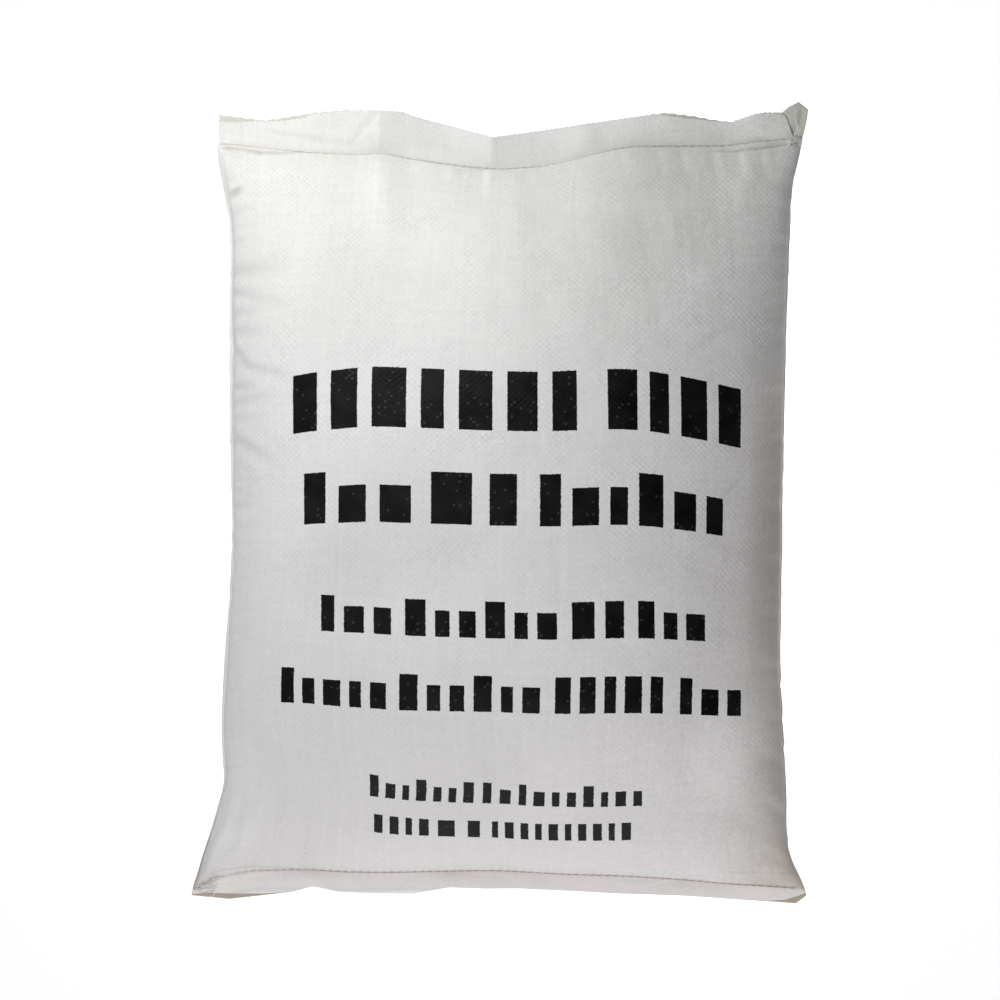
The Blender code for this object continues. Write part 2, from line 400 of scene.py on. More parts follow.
def pucker(px, py, x0, y0, x1, y1, width, depth, ridge=0.5, kind="edge"):
    """A valley with a low ridge beside it, in millimetres.

    An edge pucker is deepest at its start and runs out, and steps down
    towards the foot of the sack; a crease fades at both ends.
    """
    dx, dy = x1 - x0, y1 - y0
    length = math.hypot(dx, dy)
    t = ((px - x0) * dx + (py - y0) * dy) / length**2
    w = ((py - y0) * dx - (px - x0) * dy) / length
    if kind == "edge":
        along = ease(-0.25, 0.10, t) * (1.0 - ease(0.20, 1.10, t))
        wide = width * (1.0 + 0.6 * np.clip(t, 0, 1))
        w = w * math.copysign(1.0, dx) / wide
        return along * depth * ((0.3 + 0.8 * ridge) * np.exp(-(w + 0.8) ** 2) - np.exp(-(w - 0.8) ** 2))
    else:
        along = ease(-0.10, 0.30, t) * (1.0 - ease(0.70, 1.10, t))
        wide = width
    return along * depth * (ridge * np.exp(-((w - 1.9 * wide) / (1.2 * wide)) ** 2)
                            - np.exp(-(w / wide) ** 2))


# Puckers and creases of the front: start, end, width, depth in millimetres,
# ridge share, kind.
FRONT_FOLDS = (
    (230, 195, 248, 184, 2.6, 2.55, 0.5, "edge"),
    (229, 178, 252, 168, 4.0, 0.85, 0.6, "edge"),
    (230, 228, 250, 224, 3.0, 0.55, 0.5, "edge"),
    (232, 386, 256, 385, 3.2, 0.85, 0.5, "edge"),
    (232, 418, 262, 417, 3.5, 0.70, 0.5, "edge"),
    (232, 476, 266, 482, 4.0, 0.75, 0.5, "edge"),
    (232, 490, 258, 493, 3.5, 0.70, 0.5, "edge"),
    (232, 522, 262, 526, 4.0, 0.70, 0.5, "edge"),
    (232, 541, 256, 539, 3.5, 0.60, 0.5, "edge"),
    (231, 580, 256, 577, 4.0, 0.65, 0.5, "edge"),
    (230, 630, 254, 626, 4.0, 0.55, 0.5, "edge"),
    (231, 214, 252, 206, 4.0, 0.59, 0.6, "edge"),
    (232, 240, 262, 234, 5.0, 0.51, 0.5, "edge"),
    (231, 270, 292, 262, 6.0, 1.27, 0.5, "edge"),
    (232, 290, 284, 305, 3.5, 1.00, 0.4, "edge"),
    (233, 312, 268, 306, 5.0, 0.59, 0.6, "edge"),
    (231, 330, 280, 330, 4.5, 0.75, 0.5, "edge"),
    (232, 344, 254, 366, 4.0, 1.30, 0.5, "edge"),
    (240, 362, 292, 378, 4.0, 1.20, 0.5, "edge"),
    (232, 402, 278, 394, 3.5, 0.85, 0.6, "edge"),
    (234, 434, 284, 466, 4.5, 1.30, 0.6, "edge"),
    (233, 458, 258, 470, 4.0, 0.51, 0.5, "edge"),
    (232, 505, 262, 500, 5.0, 0.59, 0.5, "edge"),
    (231, 560, 258, 556, 5.0, 0.51, 0.5, "edge"),
    (229, 612, 256, 604, 5.0, 0.51, 0.5, "edge"),
    (226, 668, 252, 656, 5.0, 0.59, 0.5, "edge"),
    (224, 720, 254, 700, 5.0, 0.68, 0.5, "edge"),
    (224, 768, 256, 744, 5.0, 0.68, 0.5, "edge"),
    (219, 812, 252, 786, 5.0, 0.77, 0.5, "edge"),
    (214, 846, 262, 822, 6.0, 0.77, 0.5, "edge"),
    # the right side
    (796, 166, 756, 158, 4.0, 0.63, -0.6, "edge"),
    (792, 182, 752, 168, 5.0, 0.77, -0.6, "edge"),
    (790, 206, 764, 200, 4.0, 0.49, 0.5, "edge"),
    (789, 240, 760, 236, 5.0, 0.49, 0.5, "edge"),
    (788, 282, 756, 288, 5.0, 0.49, 0.5, "edge"),
    (788, 296, 690, 352, 5.0, 0.70, 0.5, "crease"),
    (787, 330, 752, 338, 5.0, 0.56, 0.5, "edge"),
    (786, 388, 758, 392, 5.0, 0.49, 0.5, "edge"),
    (786, 432, 726, 462, 4.5, 0.63, 0.5, "edge"),
    (746, 470, 719, 503, 2.6, 0.56, 0.7, "crease"),
    (785, 496, 756, 512, 4.5, 0.56, 0.5, "edge"),
    (732, 553, 720, 566, 2.2, 0.35, 0.8, "crease"),
    (783, 556, 752, 560, 4.5, 0.49, 0.5, "edge"),
    (781, 610, 754, 612, 5.0, 0.49, 0.5, "edge"),
    (781, 664, 752, 660, 5.0, 0.49, 0.5, "edge"),
    (783, 716, 754, 706, 5.0, 0.56, 0.5, "edge"),
    (785, 760, 752, 744, 5.0, 0.56, 0.5, "edge"),
    (787, 812, 752, 786, 5.0, 0.63, 0.5, "edge"),
    (794, 862, 746, 836, 6.0, 0.70, 0.5, "edge"),
    # creases in the middle
    (443, 528, 466, 596, 1.8, 0.16, -1.2, "crease"),
    (562, 524, 562, 604, 2.2, 0.28, -1.0, "crease"),
    (466, 748, 502, 782, 12.0, 0.55, 0.3, "crease"),
    (640, 184, 666, 334, 3.0, 0.12, -1.0, "crease"),
    (655, 180, 684, 300, 3.0, 0.10, -1.0, "crease"),
    (690, 168, 700, 320, 3.0, 0.10, 0.9, "crease"),
    (730, 170, 736, 300, 3.0, 0.12, 0.9, "crease"),
    (600, 640, 606, 760, 3.0, 0.08, -1.0, "crease"),
    # short ones under the upper seam
    (412, 160, 420, 184, 5.0, 0.35, 0.6, "edge"),
    (446, 168, 458, 196, 5.0, 0.42, 0.6, "edge"),
    (530, 170, 536, 190, 5.0, 0.31, 0.6, "edge"),
    (572, 163, 578, 186, 5.0, 0.28, 0.6, "edge"),
    (624, 152, 632, 180, 4.0, 0.36, 0.6, "edge"),
    (660, 150, 668, 178, 4.0, 0.36, 0.6, "edge"),
    (684, 150, 694, 186, 4.0, 0.42, 0.6, "edge"),
    (716, 152, 724, 188, 4.0, 0.48, 0.6, "edge"),
    (742, 154, 750, 186, 4.0, 0.48, 0.6, "edge"),
    (764, 150, 770, 182, 4.0, 0.48, 0.6, "edge"),
)


def lumps(px, py, seed, count=46, short=26.0, long=95.0):
    """Soft unevenness from the grains inside: a sum of low random waves."""
    rng = np.random.default_rng(seed)
    total = 0.0 * px
    for n in range(count):
        wave = short * (long / short) ** rng.uniform()
        a, phase = rng.uniform(0, math.pi), rng.uniform(0, 2 * math.pi)
        total = total + (wave / long) * np.sin((px * math.cos(a) + py * math.sin(a)) * 2 * math.pi / wave + phase)
    return total / math.sqrt(count)


def front_relief(px, py):
    """Height of the small forms of the front over the settled cloth, in metres."""
    h = 0.0 * px
    for fold in FRONT_FOLDS:
        h = h + pucker(px, py, *fold)
    # the hollow beside the middle of the upper seam, wide on its left side
    off = px - 482.0
    hollow = np.where(off < 0, np.exp(-(off / 26.0) ** 2), np.exp(-(off / 5.5) ** 2))
    h = h - 2.1 * hollow * (1.0 - ease(170.0, 214.0, py))
    # the pleats below both ends of the upper seam
    line = np.interp(px, (219, 235, 265, 290, 312), (148.0, 152.0, 154.0, 153.2, 151.0))
    h = h - 2.2 * np.exp(-((py - line) / 1.7) ** 2) * (1.0 - ease(262.0, 318.0, px))
    h = h + 0.9 * np.exp(-((py - line + 4.5) / 3.0) ** 2) * (1.0 - ease(250.0, 318.0, px))
    line = np.interp(px, (700, 712, 737, 757, 778, 797), (150.5, 151.0, 150.6, 148.9, 144.9, 143.0))
    h = h - 2.0 * np.exp(-((py - line) / 1.8) ** 2) * ease(696.0, 745.0, px)
    h = h + 1.1 * np.exp(-((py - line + 4.2) / 2.6) ** 2) * ease(706.0, 755.0, px)
    # a broad low ridge runs down from the hollow
    h = h + 4.5 * np.exp(-((px - 492.0 - 0.06 * (py - 180.0)) / 62.0) ** 2) * ease(168.0, 230.0, py) * (1.0 - ease(260.0, 470.0, py))
    h = h + 0.42 * lumps(px, py, 3) + 0.085 * lumps(px, py, 8, 60, 9.0, 30.0)
    return 0.001 * h


def back_relief(px, py):
    rng = np.random.default_rng(21)
    h = 0.34 * lumps(px, py, 5)
    for n in range(13):
        y = 170.0 + 54.0 * n + rng.uniform(-14, 14)
        reach, lean = rng.uniform(24, 70), rng.uniform(-22, 22)
        h = h + pucker(px, py, 230, y, 230 + reach, y + lean, rng.uniform(4, 7), rng.uniform(0.3, 1.0))
        y += rng.uniform(-24, 24)
        reach, lean = rng.uniform(24, 70), rng.uniform(-22, 22)
        h = h + pucker(px, py, 786, y, 786 - reach, y + lean, rng.uniform(4, 7), rng.uniform(0.3, 1.0))
    return 0.001 * h


def pinch_folds(x):
    """The pressed folds of the tube stand out a little along both sides."""
    y = x[:, :, 1]
    py = 500.0 - y / PX
    side = np.where((RING_U > 0) & (RING_U < 1), 1.0, -1.0)[None, :]
    side[0, 0] = side[0, FRONT_COLS] = 0.0
    for k, width, lean in ((0, 0.0044, 0.0), (FRONT_COLS, 0.0006, 1.9)):
        # the edge itself is pressed sharp
        for j in (k - 1, k + 1):
            x[:, j, 0] = x[:, k, 0] + 0.3 * (x[:, j, 0] - x[:, k, 0])
        wide = width * (1.0 + 0.26 * np.sin(py / 47.0 + lean) + 0.12 * np.sin(py / 17.0 + 2 * lean))
        off = np.abs(x[:, :, 0] - x[:, k:k + 1, 0])
        keep = ease(0.40, 1.0, off / (wide + 0.0010))
        base = x[:, k:k + 1, 2] + 0.00035 * side
        low = base + (x[:, :, 2] - base) * keep
        x[:, :, 2] = np.where(off < 0.02, low, x[:, :, 2])
    return x


def finish_surface(x):
    x = refine(x)
    n = normals_of(x)
    px, py = pixel_of(x)
    front = ((RING_U > 0) & (RING_U < 1.0))[None, :]
    # nothing moves at the seams, where the two sides meet
    calm = (ease(0.0, 0.008, ROW_SHARE) * ease(0.0, 0.0055, 1.0 - ROW_SHARE))[:, None]
    h = np.where(front, front_relief(px, py), back_relief(px, py)) * calm
    # and little on the floor
    h = h * np.where(front, 1.0, ease(0.002, 0.012, x[..., 2]))
    x = x + h[..., None] * n
    x = pinch_folds(x)
    x[..., 2] = np.maximum(x[..., 2], 0.0)
    return x


# ------------------------------------------------------------ mesh helpers

def new_object(name, mesh, smooth=True):
    obj = bpy.data.objects.new(name, mesh)
    bpy.context.scene.collection.objects.link(obj)
    if smooth:
        mesh.polygons.foreach_set("use_smooth", [True] * len(mesh.polygons))
    return obj


def grid_faces(rows, cols, wrap=False, base=0, flip=False):
    """Quads of a grid of rows x cols vertices, numbered row by row."""
    j = np.arange(rows - 1)[:, None]
    k = np.arange(cols if wrap else cols - 1)[None, :]
    n = (k + 1) % cols
    a = base + j * cols + k
    b = base + j * cols + n
    c = base + (j + 1) * cols + n
    d = base + (j + 1) * cols + k
    q = np.stack([a, b, c, d], axis=-1) if not flip else np.stack([a, d, c, b], axis=-1)
    return q.reshape(-1, 4)


def mesh_from(name, verts, quads, uvs=None):
    """A mesh of quads; uvs is {layer: values per vertex of each quad corner}."""
    return mesh_of(name, verts, quads.ravel(), np.arange(0, quads.size, 4), uvs)


def mesh_of(name, verts, corners, starts, uvs=None):
    mesh = bpy.data.meshes.new(name)
    verts = np.asarray(verts, float)
    mesh.vertices.add(len(verts))
    mesh.vertices.foreach_set("co", verts.ravel())
    mesh.loops.add(len(corners))
    mesh.loops.foreach_set("vertex_index", corners)
    mesh.polygons.add(len(starts))
    mesh.polygons.foreach_set("loop_start", starts)
    mesh.update(calc_edges=True)
    mesh.validate()
    for layer, values in (uvs or {}).items():
        uv = mesh.uv_layers.new(name=layer)
        uv.data.foreach_set("uv", np.asarray(values, float).reshape(-1))
    return mesh


# ---------------------------------------------------------------- the body

def build_body():
    guide = guide_grid()
    side = np.where(np.arange(2 * COLS) <= COLS, 1.0, -1.0)
    side[0] = side[COLS] = 0.0
    guide[0, :, 2] += LAYER_GAP * side
    guide[-1, :, 2] += LAYER_GAP * side
    rounds = 420
    x = finish_surface(relax(guide, dent_field(), rounds=rounds))
    rows, ring = FINE_ROWS + 1, FRONT_COLS + BACK_COLS
    quads = grid_faces(rows, ring, wrap=True)
    # fabric coordinates in metres: u round the sack, v from the lower seam
    kk = np.broadcast_to(np.arange(ring)[None, :], (rows - 1, ring)).reshape(-1)
    jj = np.broadcast_to(np.arange(rows - 1)[:, None], (rows - 1, ring)).reshape(-1)
    u_at = np.append(RING_U, 2.0) * SACK_WIDTH
    v_at = ROW_SHARE * SACK_LENGTH
    u0, u1, v0, v1 = u_at[kk], u_at[kk + 1], v_at[jj], v_at[jj + 1]
    fabric = np.stack([np.stack([u0, v0], -1), np.stack([u1, v0], -1),
                       np.stack([u1, v1], -1), np.stack([u0, v1], -1)], axis=1)
    bake = fabric / np.array([2 * SACK_WIDTH, SACK_LENGTH]) * 0.98 + 0.01
    bake[..., 1] = bake[..., 1] * 0.94
    # narrow closing strips between the two layers at the seams: the front's
    # columns meet the back's where they lie over one another
    caps, cap_uv, cap_bake = [], [], []
    back_of = np.rint(np.arange(FRONT_COLS + 1) * BACK_COLS / FRONT_COLS).astype(int)
    for row, low in ((0, True), (FINE_ROWS, False)):
        for c in range(FRONT_COLS):
            a, b = row * ring + c, row * ring + c + 1
            d = row * ring + (ring - back_of[c]) % ring
            e = row * ring + (ring - back_of[c + 1]) % ring
            corners = [a, d, e, b] if low else [a, b, e, d]
            if len(set(corners)) < 4:
                corners = [v for n, v in enumerate(corners) if v not in corners[:n]]
            if len(corners) < 3:
                continue
            caps.append(corners)
            u = c * SACK_WIDTH / FRONT_COLS
            v = 0.0 if low else SACK_LENGTH
            h = 0.955 + (0.0 if low else 0.02)
            w0, w1 = 0.01 + 0.9 * c / FRONT_COLS, 0.01 + 0.9 * (c + 1) / FRONT_COLS
            full = {a: ((u, v), (w0, h)), b: ((u + 0.002, v), (w1, h)),
                    d: ((u, v), (w0, h + 0.01)), e: ((u + 0.002, v), (w1, h + 0.01))}
            cap_uv += [full[n][0] for n in corners]
            cap_bake += [full[n][1] for n in corners]
    corners = np.concatenate([quads.reshape(-1)] + [np.array(c) for c in caps])
    starts = np.concatenate([np.arange(0, quads.size, 4),
                             quads.size + np.cumsum([0] + [len(c) for c in caps[:-1]])])
    uv = np.concatenate([fabric.reshape(-1, 2), np.array(cap_uv)], axis=0)
    bk = np.concatenate([bake.reshape(-1, 2), np.array(cap_bake)], axis=0)
    mesh = mesh_of("sack_body", x.reshape(-1, 3), corners, starts, {"OFBake": bk, "fabric": uv})
    bm = bmesh.new()
    bm.from_mesh(mesh)
    bmesh.ops.recalc_face_normals(bm, faces=bm.faces[:])
    bm.to_mesh(mesh)
    bm.free()
    return new_object("sack_body", mesh), x


# ---------------------------------------------------------------- the hems

# Cut edges of the upper hem: pixel column, pixel row.
TOP_FRONT_EDGE = ((218, 119.6), (240, 120.4), (258, 118.9), (268, 119.6), (282, 118.6), (296, 117.2),
                  (304, 116.2), (310, 113.6), (318, 112.0), (330, 110.8), (345, 109.8), (365, 108.6), (385, 109.5), (400, 110), (415, 115),
                  (460, 127), (492, 136), (520, 132), (595, 121), (655, 112.5), (668, 113.5),
                  (690, 116), (715, 118), (733, 119.5), (745, 115), (758, 111), (768, 109.5),
                  (784, 109.5), (790, 112))
TOP_BACK_EDGE = ((218, 113), (235, 115), (262, 118.5), (275, 117), (295, 113.5), (315, 110.5),
                 (345, 108.5), (365, 109.5), (385, 110), (400, 111), (415, 116), (460, 128),
                 (492, 137), (520, 133), (595, 122), (650, 113), (667, 111), (690, 113.5),
                 (715, 117.5), (733, 119.5), (745, 115.5), (758, 112), (768, 110), (784, 109.5),
                 (790, 104), (799.5, 98.5), (811, 107))
BOTTOM_FRONT_EDGE = ((192, 891), (206, 890), (230, 891.5), (262, 891.5), (290, 889.5), (311, 883.5),
                     (338, 890), (375, 892), (412, 892.5), (449, 885), (485, 886.5), (520, 886.5),
                     (570, 889), (615, 891.5), (684, 893.5), (730, 896.5), (768, 898.5),
                     (785, 897.5), (797, 893.5), (806, 890))
BOTTOM_BACK_EDGE = ((190, 893.5), (227, 898.6), (262, 894.5), (290, 891), (311, 885), (338, 891),
                    (375, 893), (412, 893.5), (449, 886), (485, 887), (520, 887.5), (570, 890),
                    (615, 892.5), (684, 894.5), (730, 898), (770, 900.5), (796, 902.5), (807, 893))


BOTTOM_FRONT_EDGE = lengthened(BOTTOM_FRONT_EDGE, 1.0128)
BOTTOM_BACK_EDGE = lengthened(BOTTOM_BACK_EDGE, 1.0104)


def hem_sheet(top, front, columns=560, rows=20):
    """One layer of a hem, as points [rows + 1, columns + 1, 3], seam first."""
    if top:
        lo, hi = (218.5, 792.0 if front else 810.0)
        edge = TOP_FRONT_EDGE if front else TOP_BACK_EDGE
        seam = TOP_SEAM
    else:
        lo, hi = (191.5, 806.0)
        edge = BOTTOM_FRONT_EDGE if front else BOTTOM_BACK_EDGE
        seam = BOTTOM_SEAM
    sign = 1.0 if top else -1.0
    px = np.linspace(lo, hi, columns + 1)[None, :]
    r = np.linspace(-0.06, 1.0, rows + 1)[:, None]
    y_seam, y_edge = curve(seam, px), straight(edge, px)
    if top and front:                                   # pinked, uneven cut
        y_edge = y_edge + (1.1 + 0.5 * (px < 310)) * np.abs(np.sin(px * math.pi / 5.3)) - 0.5
    elif top:
        y_edge = y_edge + 0.5 * np.sin(px * math.pi / 5.3 + 1.0) * (px < 780)
    py = y_seam + r * (y_edge - y_seam)
    y = Y(py)
    x = X(px) + 0.0 * r
    # keep the sheet's ends on the sack's outline
    left, right = left_x(y), right_x(y)
    share = (px - lo) / (hi - lo)
    pull_l = np.clip(1 - share * 14, 0, 1)
    pull_r = np.clip(1 - (1 - share) * 14, 0, 1)
    x = x + pull_l * (left - X(lo) - (0.0012 * np.clip(r, 0, 1) if top else 0.0))
    if top and front:                                   # its right end is cut at a slant
        x = x + pull_r * PX * (4.5 - 8.5 * np.clip(r, 0, 1))
    else:
        x = x + pull_r * (right - X(hi))
    centre = (500.0 + 11.0) if top else 499.0
    s = np.clip((px - centre) / (293.0 if top else 307.0), -1, 1)
    out = np.clip(r, 0, 1)
    length = np.abs(Y(y_edge) - Y(y_seam))
    wave = 0.55 * soft_wave(px, top) + 0.85 * crease_wave(px, top)
    if top:
        z = seam_z(s, True) + wave * ease(-0.1, 0.45, out) + 0.5 * soft_wave(px, True) * out - 0.10 * length * out
        # low folds of the hem: the ridge that leans to the left from the sharp
        # crease, and the fold along the left end's middle
        h = pucker(px, py, 384, 106, 346, 150, 4.0, 0.5, 0.7, "crease")
        h = h + pucker(px, py, 352, 146, 258, 130, 3.4, 1.0, 0.9, "crease")
        h = h - pucker(px, py, 300, 112, 372, 112, 12.0, 1.2, 0.0, "crease")
        h = h + pucker(px, py, 596, 118, 604, 150, 9.0, 0.5, 0.4, "crease")
        h = h + 0.20 * lumps(px, py, 31, 40, 16.0, 60.0)
        z = z + 0.001 * h * ease(0.0, 0.2, out) * (1.0 if front else 0.5)
        gap = LAYER_GAP + (0.0012 + 0.0010 * np.sin(px * 0.041 + 1.0)) * out ** 2 * (1.0 - ease(760.0, 786.0, px))
        if not front:
            gap = gap + 0.0015 * bump(px, 240.0, 40.0) * out
    else:
        z = seam_z(s, False) + wave * ease(-0.1, 0.6, out) + 0.6 * soft_wave(px, False) * out - 0.52 * length * out
        h = 0.16 * lumps(px, py, 33, 40, 14.0, 60.0)
        h = h + pucker(px, py, 628, 894, 676, 884, 2.4, 0.7, -0.8, "crease")
        h = h + pucker(px, py, 470, 876, 520, 882, 2.4, 0.4, -0.8, "crease")
        h = h + pucker(px, py, 210, 888, 264, 876, 2.0, 0.7, -0.8, "crease")
        z = z + 0.001 * h * ease(0.0, 0.2, out)
        if front:
            z = z + 0.0003 * np.sin(math.pi * np.clip(out * 1.02, 0, 1))
        gap = LAYER_GAP + 0.0008 * out
    z = z + (gap if front else -gap)
    return np.stack([x + 0 * z, y + 0 * z, z], axis=-1), px, r, length


def build_hem(name, top, front):
    sheet, px, r, length = hem_sheet(top, front)
    rows, cols = sheet.shape[0], sheet.shape[1]
    n = np.cross(np.gradient(sheet, axis=1), np.gradient(sheet, axis=0))
    n /= np.linalg.norm(n, axis=2, keepdims=True) + 1e-12
    if n[..., 2].mean() < 0:
        n = -n
    outer, inner = sheet + 0.5 * FABRIC * n, sheet - 0.5 * FABRIC * n
    verts = np.vstack([outer.reshape(-1, 3), inner.reshape(-1, 3)])
    count = rows * cols
    up = grid_faces(rows, cols, flip=not top)
    down = grid_faces(rows, cols, base=count, flip=top)
    rim = []
    loop = ([(0, k) for k in range(cols)] + [(j, cols - 1) for j in range(1, rows)]
            + [(rows - 1, k) for k in range(cols - 2, -1, -1)] + [(j, 0) for j in range(rows - 2, 0, -1)])
    ids = [j * cols + k for j, k in loop]
    for a, b in zip(ids, ids[1:] + ids[:1]):
        rim.append((a, a + count, b + count, b))
    quads = np.vstack([up, down, np.array(rim)])
    # fabric coordinates, in line with the body's own tapes
    u = (np.broadcast_to(px, (rows, cols)) - 505.0) * PX + 0.5 * SACK_WIDTH
    run = np.cumsum(np.vstack([np.zeros((1, cols)), np.linalg.norm(np.diff(sheet, axis=0), axis=2)]), axis=0)
    v = (SACK_LENGTH + run) if top else -run
    if not front:
        u = 2 * SACK_WIDTH - u
    uv_of = np.stack([u.ravel(), v.ravel()], axis=-1)
    uv_of = np.vstack([uv_of, uv_of])
    bu = np.broadcast_to(np.linspace(0.005, 0.995, cols)[None, :], (rows, cols))
    bv = np.broadcast_to(np.linspace(0.01, 0.45, rows)[:, None], (rows, cols))
    bk_of = np.stack([bu.ravel(), bv.ravel()], axis=-1)
    bk_of = np.vstack([bk_of, bk_of + np.array([0.0, 0.48])])
    uv, bk = uv_of[quads], bk_of[quads]
    strip = np.arange(len(rim)) / len(rim)
    w = 0.99 / len(rim)
    tail = np.stack([np.stack([0.005 + strip * 0.99, np.full(len(rim), 0.955)], -1),
                     np.stack([0.005 + strip * 0.99, np.full(len(rim), 0.99)], -1),
                     np.stack([0.005 + strip * 0.99 + w, np.full(len(rim), 0.99)], -1),
                     np.stack([0.005 + strip * 0.99 + w, np.full(len(rim), 0.955)], -1)], axis=1)
    bk[len(up) + len(down):] = tail
    mesh = mesh_from(name, verts, quads, {"OFBake": bk, "fabric": uv})
    # the sides that face each other are the inside of the tube, and take the second material: a darker olive or
    # brown-grey copy of the fabric, painted shade
    inside = np.zeros(len(quads), np.int32)
    if front:
        inside[len(up):len(up) + len(down)] = 1
    else:
        inside[:len(up)] = 1
    mesh.polygons.foreach_set("material_index", inside)
    bm = bmesh.new()
    bm.from_mesh(mesh)
    bmesh.ops.recalc_face_normals(bm, faces=bm.faces[:])
    bm.to_mesh(mesh)
    bm.free()
    return new_object(name, mesh)


# ----------------------------------------------------------------- threads

def tube(name, paths, radius, loose=(), sides=8):
    """Round threads along several point lists, each closed at its ends."""
    verts, quads, kinds = [], [], []
    base = 0
    for path in list(paths) + list(loose):
        kinds.append(len(kinds) >= len(paths))
        p = np.asarray(path, float)
        t = np.gradient(p, axis=0)
        t /= np.linalg.norm(t, axis=1, keepdims=True) + 1e-12
        ref = np.array([0.0, 0.0, 1.0])
        a = np.cross(t, ref)
        weak = np.linalg.norm(a, axis=1) < 0.1
        a[weak] = np.cross(t[weak], np.array([1.0, 0.0, 0.0]))
        a /= np.linalg.norm(a, axis=1, keepdims=True) + 1e-12
        b = np.cross(t, a)
        n = len(p)
        taper = np.ones(n)
        taper[0] = taper[-1] = 0.35
        ang = np.arange(sides) * 2 * math.pi / sides
        ring = (p[:, None, :] + radius * taper[:, None, None]
                * (np.cos(ang)[None, :, None] * a[:, None, :] + np.sin(ang)[None, :, None] * b[:, None, :]))
        verts.append(ring.reshape(-1, 3))
        quads.append(grid_faces(n, sides, wrap=True, base=base))
        base += n * sides
    mesh = mesh_from(name, np.vstack(verts), np.vstack(quads))
    kind_of = np.concatenate([np.full(len(q), int(k), np.int32) for q, k in zip(quads, kinds)])
    mesh.polygons.foreach_set("material_index", kind_of)
    bm = bmesh.new()
    bm.from_mesh(mesh)
    bmesh.ops.holes_fill(bm, edges=[e for e in bm.edges if e.is_boundary], sides=sides)
    bmesh.ops.recalc_face_normals(bm, faces=bm.faces[:])
    bm.to_mesh(mesh)
    bm.free()
    return new_object(name, mesh)


def seam_run(top, front, pitch=0.0062, radius=0.00045):
    """The stitches of a seam on one side: short arcs from hole to hole."""
    lo, hi = (220.0, 797.0) if top else (203.0, 800.0)
    centre, half = (511.0, 293.0) if top else (499.0, 307.0)
    px = np.linspace(lo, hi, 3000)
    y = Y(curve(TOP_SEAM if top else BOTTOM_SEAM, px))
    s = np.clip((px - centre) / half, -1, 1)
    z = seam_z(s, top)
    line = np.stack([X(px), y, z], axis=-1)
    run = np.concatenate([[0], np.cumsum(np.linalg.norm(np.diff(line, axis=0), axis=1))])
    count = int(run[-1] / pitch)
    paths = []
    sign = 1.0 if front else -1.0
    lift = LAYER_GAP + 0.5 * FABRIC
    for n in range(count):
        a, b = n * pitch + 0.0003, (n + 1) * pitch - 0.0003
        u = np.linspace(a, b, 9)
        at = np.stack([np.interp(u, run, line[:, i]) for i in range(3)], axis=-1)
        w = (u - a) / (b - a)
        hump = np.sin(math.pi * w) ** 0.5
        at[:, 2] += sign * (lift + (hump - 0.35) * radius * 1.3)
        paths.append(at)
    return paths


def spline_points(points, count):
    p = np.asarray(points, float)
    d = np.concatenate([[0], np.cumsum(np.linalg.norm(np.diff(p, axis=0), axis=1))])
    u = np.linspace(0, d[-1], count)
    return np.stack([curve(list(zip(d, p[:, i])), u) for i in range(3)], axis=-1)


# ---------------------------------------------------------------- building

sack, BODY = build_body()
pieces = [sack]
for name, top, front in (("upper_hem_front", True, True), ("upper_hem_back", True, False),
                         ("lower_hem_front", False, True), ("lower_hem_back", False, False)):
    pieces.append(build_hem(name, top, front))

# Loose ends of thread, as (pixel column, pixel row, height in metres).
LOOSE_UPPER = (
    ((799.5, 104, .0400), (798, 109, .0412), (796.8, 114, .0422), (798.5, 121, .0427), (799.5, 127, .0432),
     (797.5, 133, .0438), (794.5, 138, .0450), (791.5, 141, .0462), (789.5, 144, .0460), (788.5, 147, .0450)),
    ((796.5, 131, .0440), (795.5, 136, .0452), (792, 139.5, .0466), (790.5, 142.5, .0466), (793, 144.5, .0462),
     (796, 142.5, .0462)),
    ((797.5, 139.5, .0452), (794, 140.8, .0470), (790.5, 140.2, .0470), (787.5, 141.5, .0455)),
)
LOOSE_LOWER = (
    ((203, 862, .0455), (201, 871, .0465), (204, 878, .0475), (210, 883, .0480), (209, 889, .0480),
     (202, 888, .0475), (197, 885, .0460), (196, 891, .0455), (203, 894, .0465), (209, 892, .0475),
     (213, 896, .0455), (208, 899, .0430)),
    ((193, 889, .0440), (199, 886.5, .0470), (206, 886, .0490), (212, 882, .0490), (219, 880, .0480)),
    ((206, 879, .0480), (202, 884, .0485), (206, 890, .0480), (213, 888, .0480), (216, 884.5, .0485)),
    ((197, 879, .0455), (200, 884, .0480), (199, 890, .0465), (193.5, 893, .0440)),
)


def loose_paths(table):
    return [spline_points([(float(X(x)), float(Y(y)), z) for x, y, z in run], 9 * len(run)) for run in table]


threads = []
for name, top, radius in (("upper_stitches", True, 0.00045), ("lower_stitches", False, 0.00050)):
    loose = loose_paths(LOOSE_UPPER if top else LOOSE_LOWER)
    threads.append((tube(name, seam_run(top, True, radius=radius) + seam_run(top, False, radius=radius),
                         radius, loose), top))


# --------------------------------------------------------------- materials

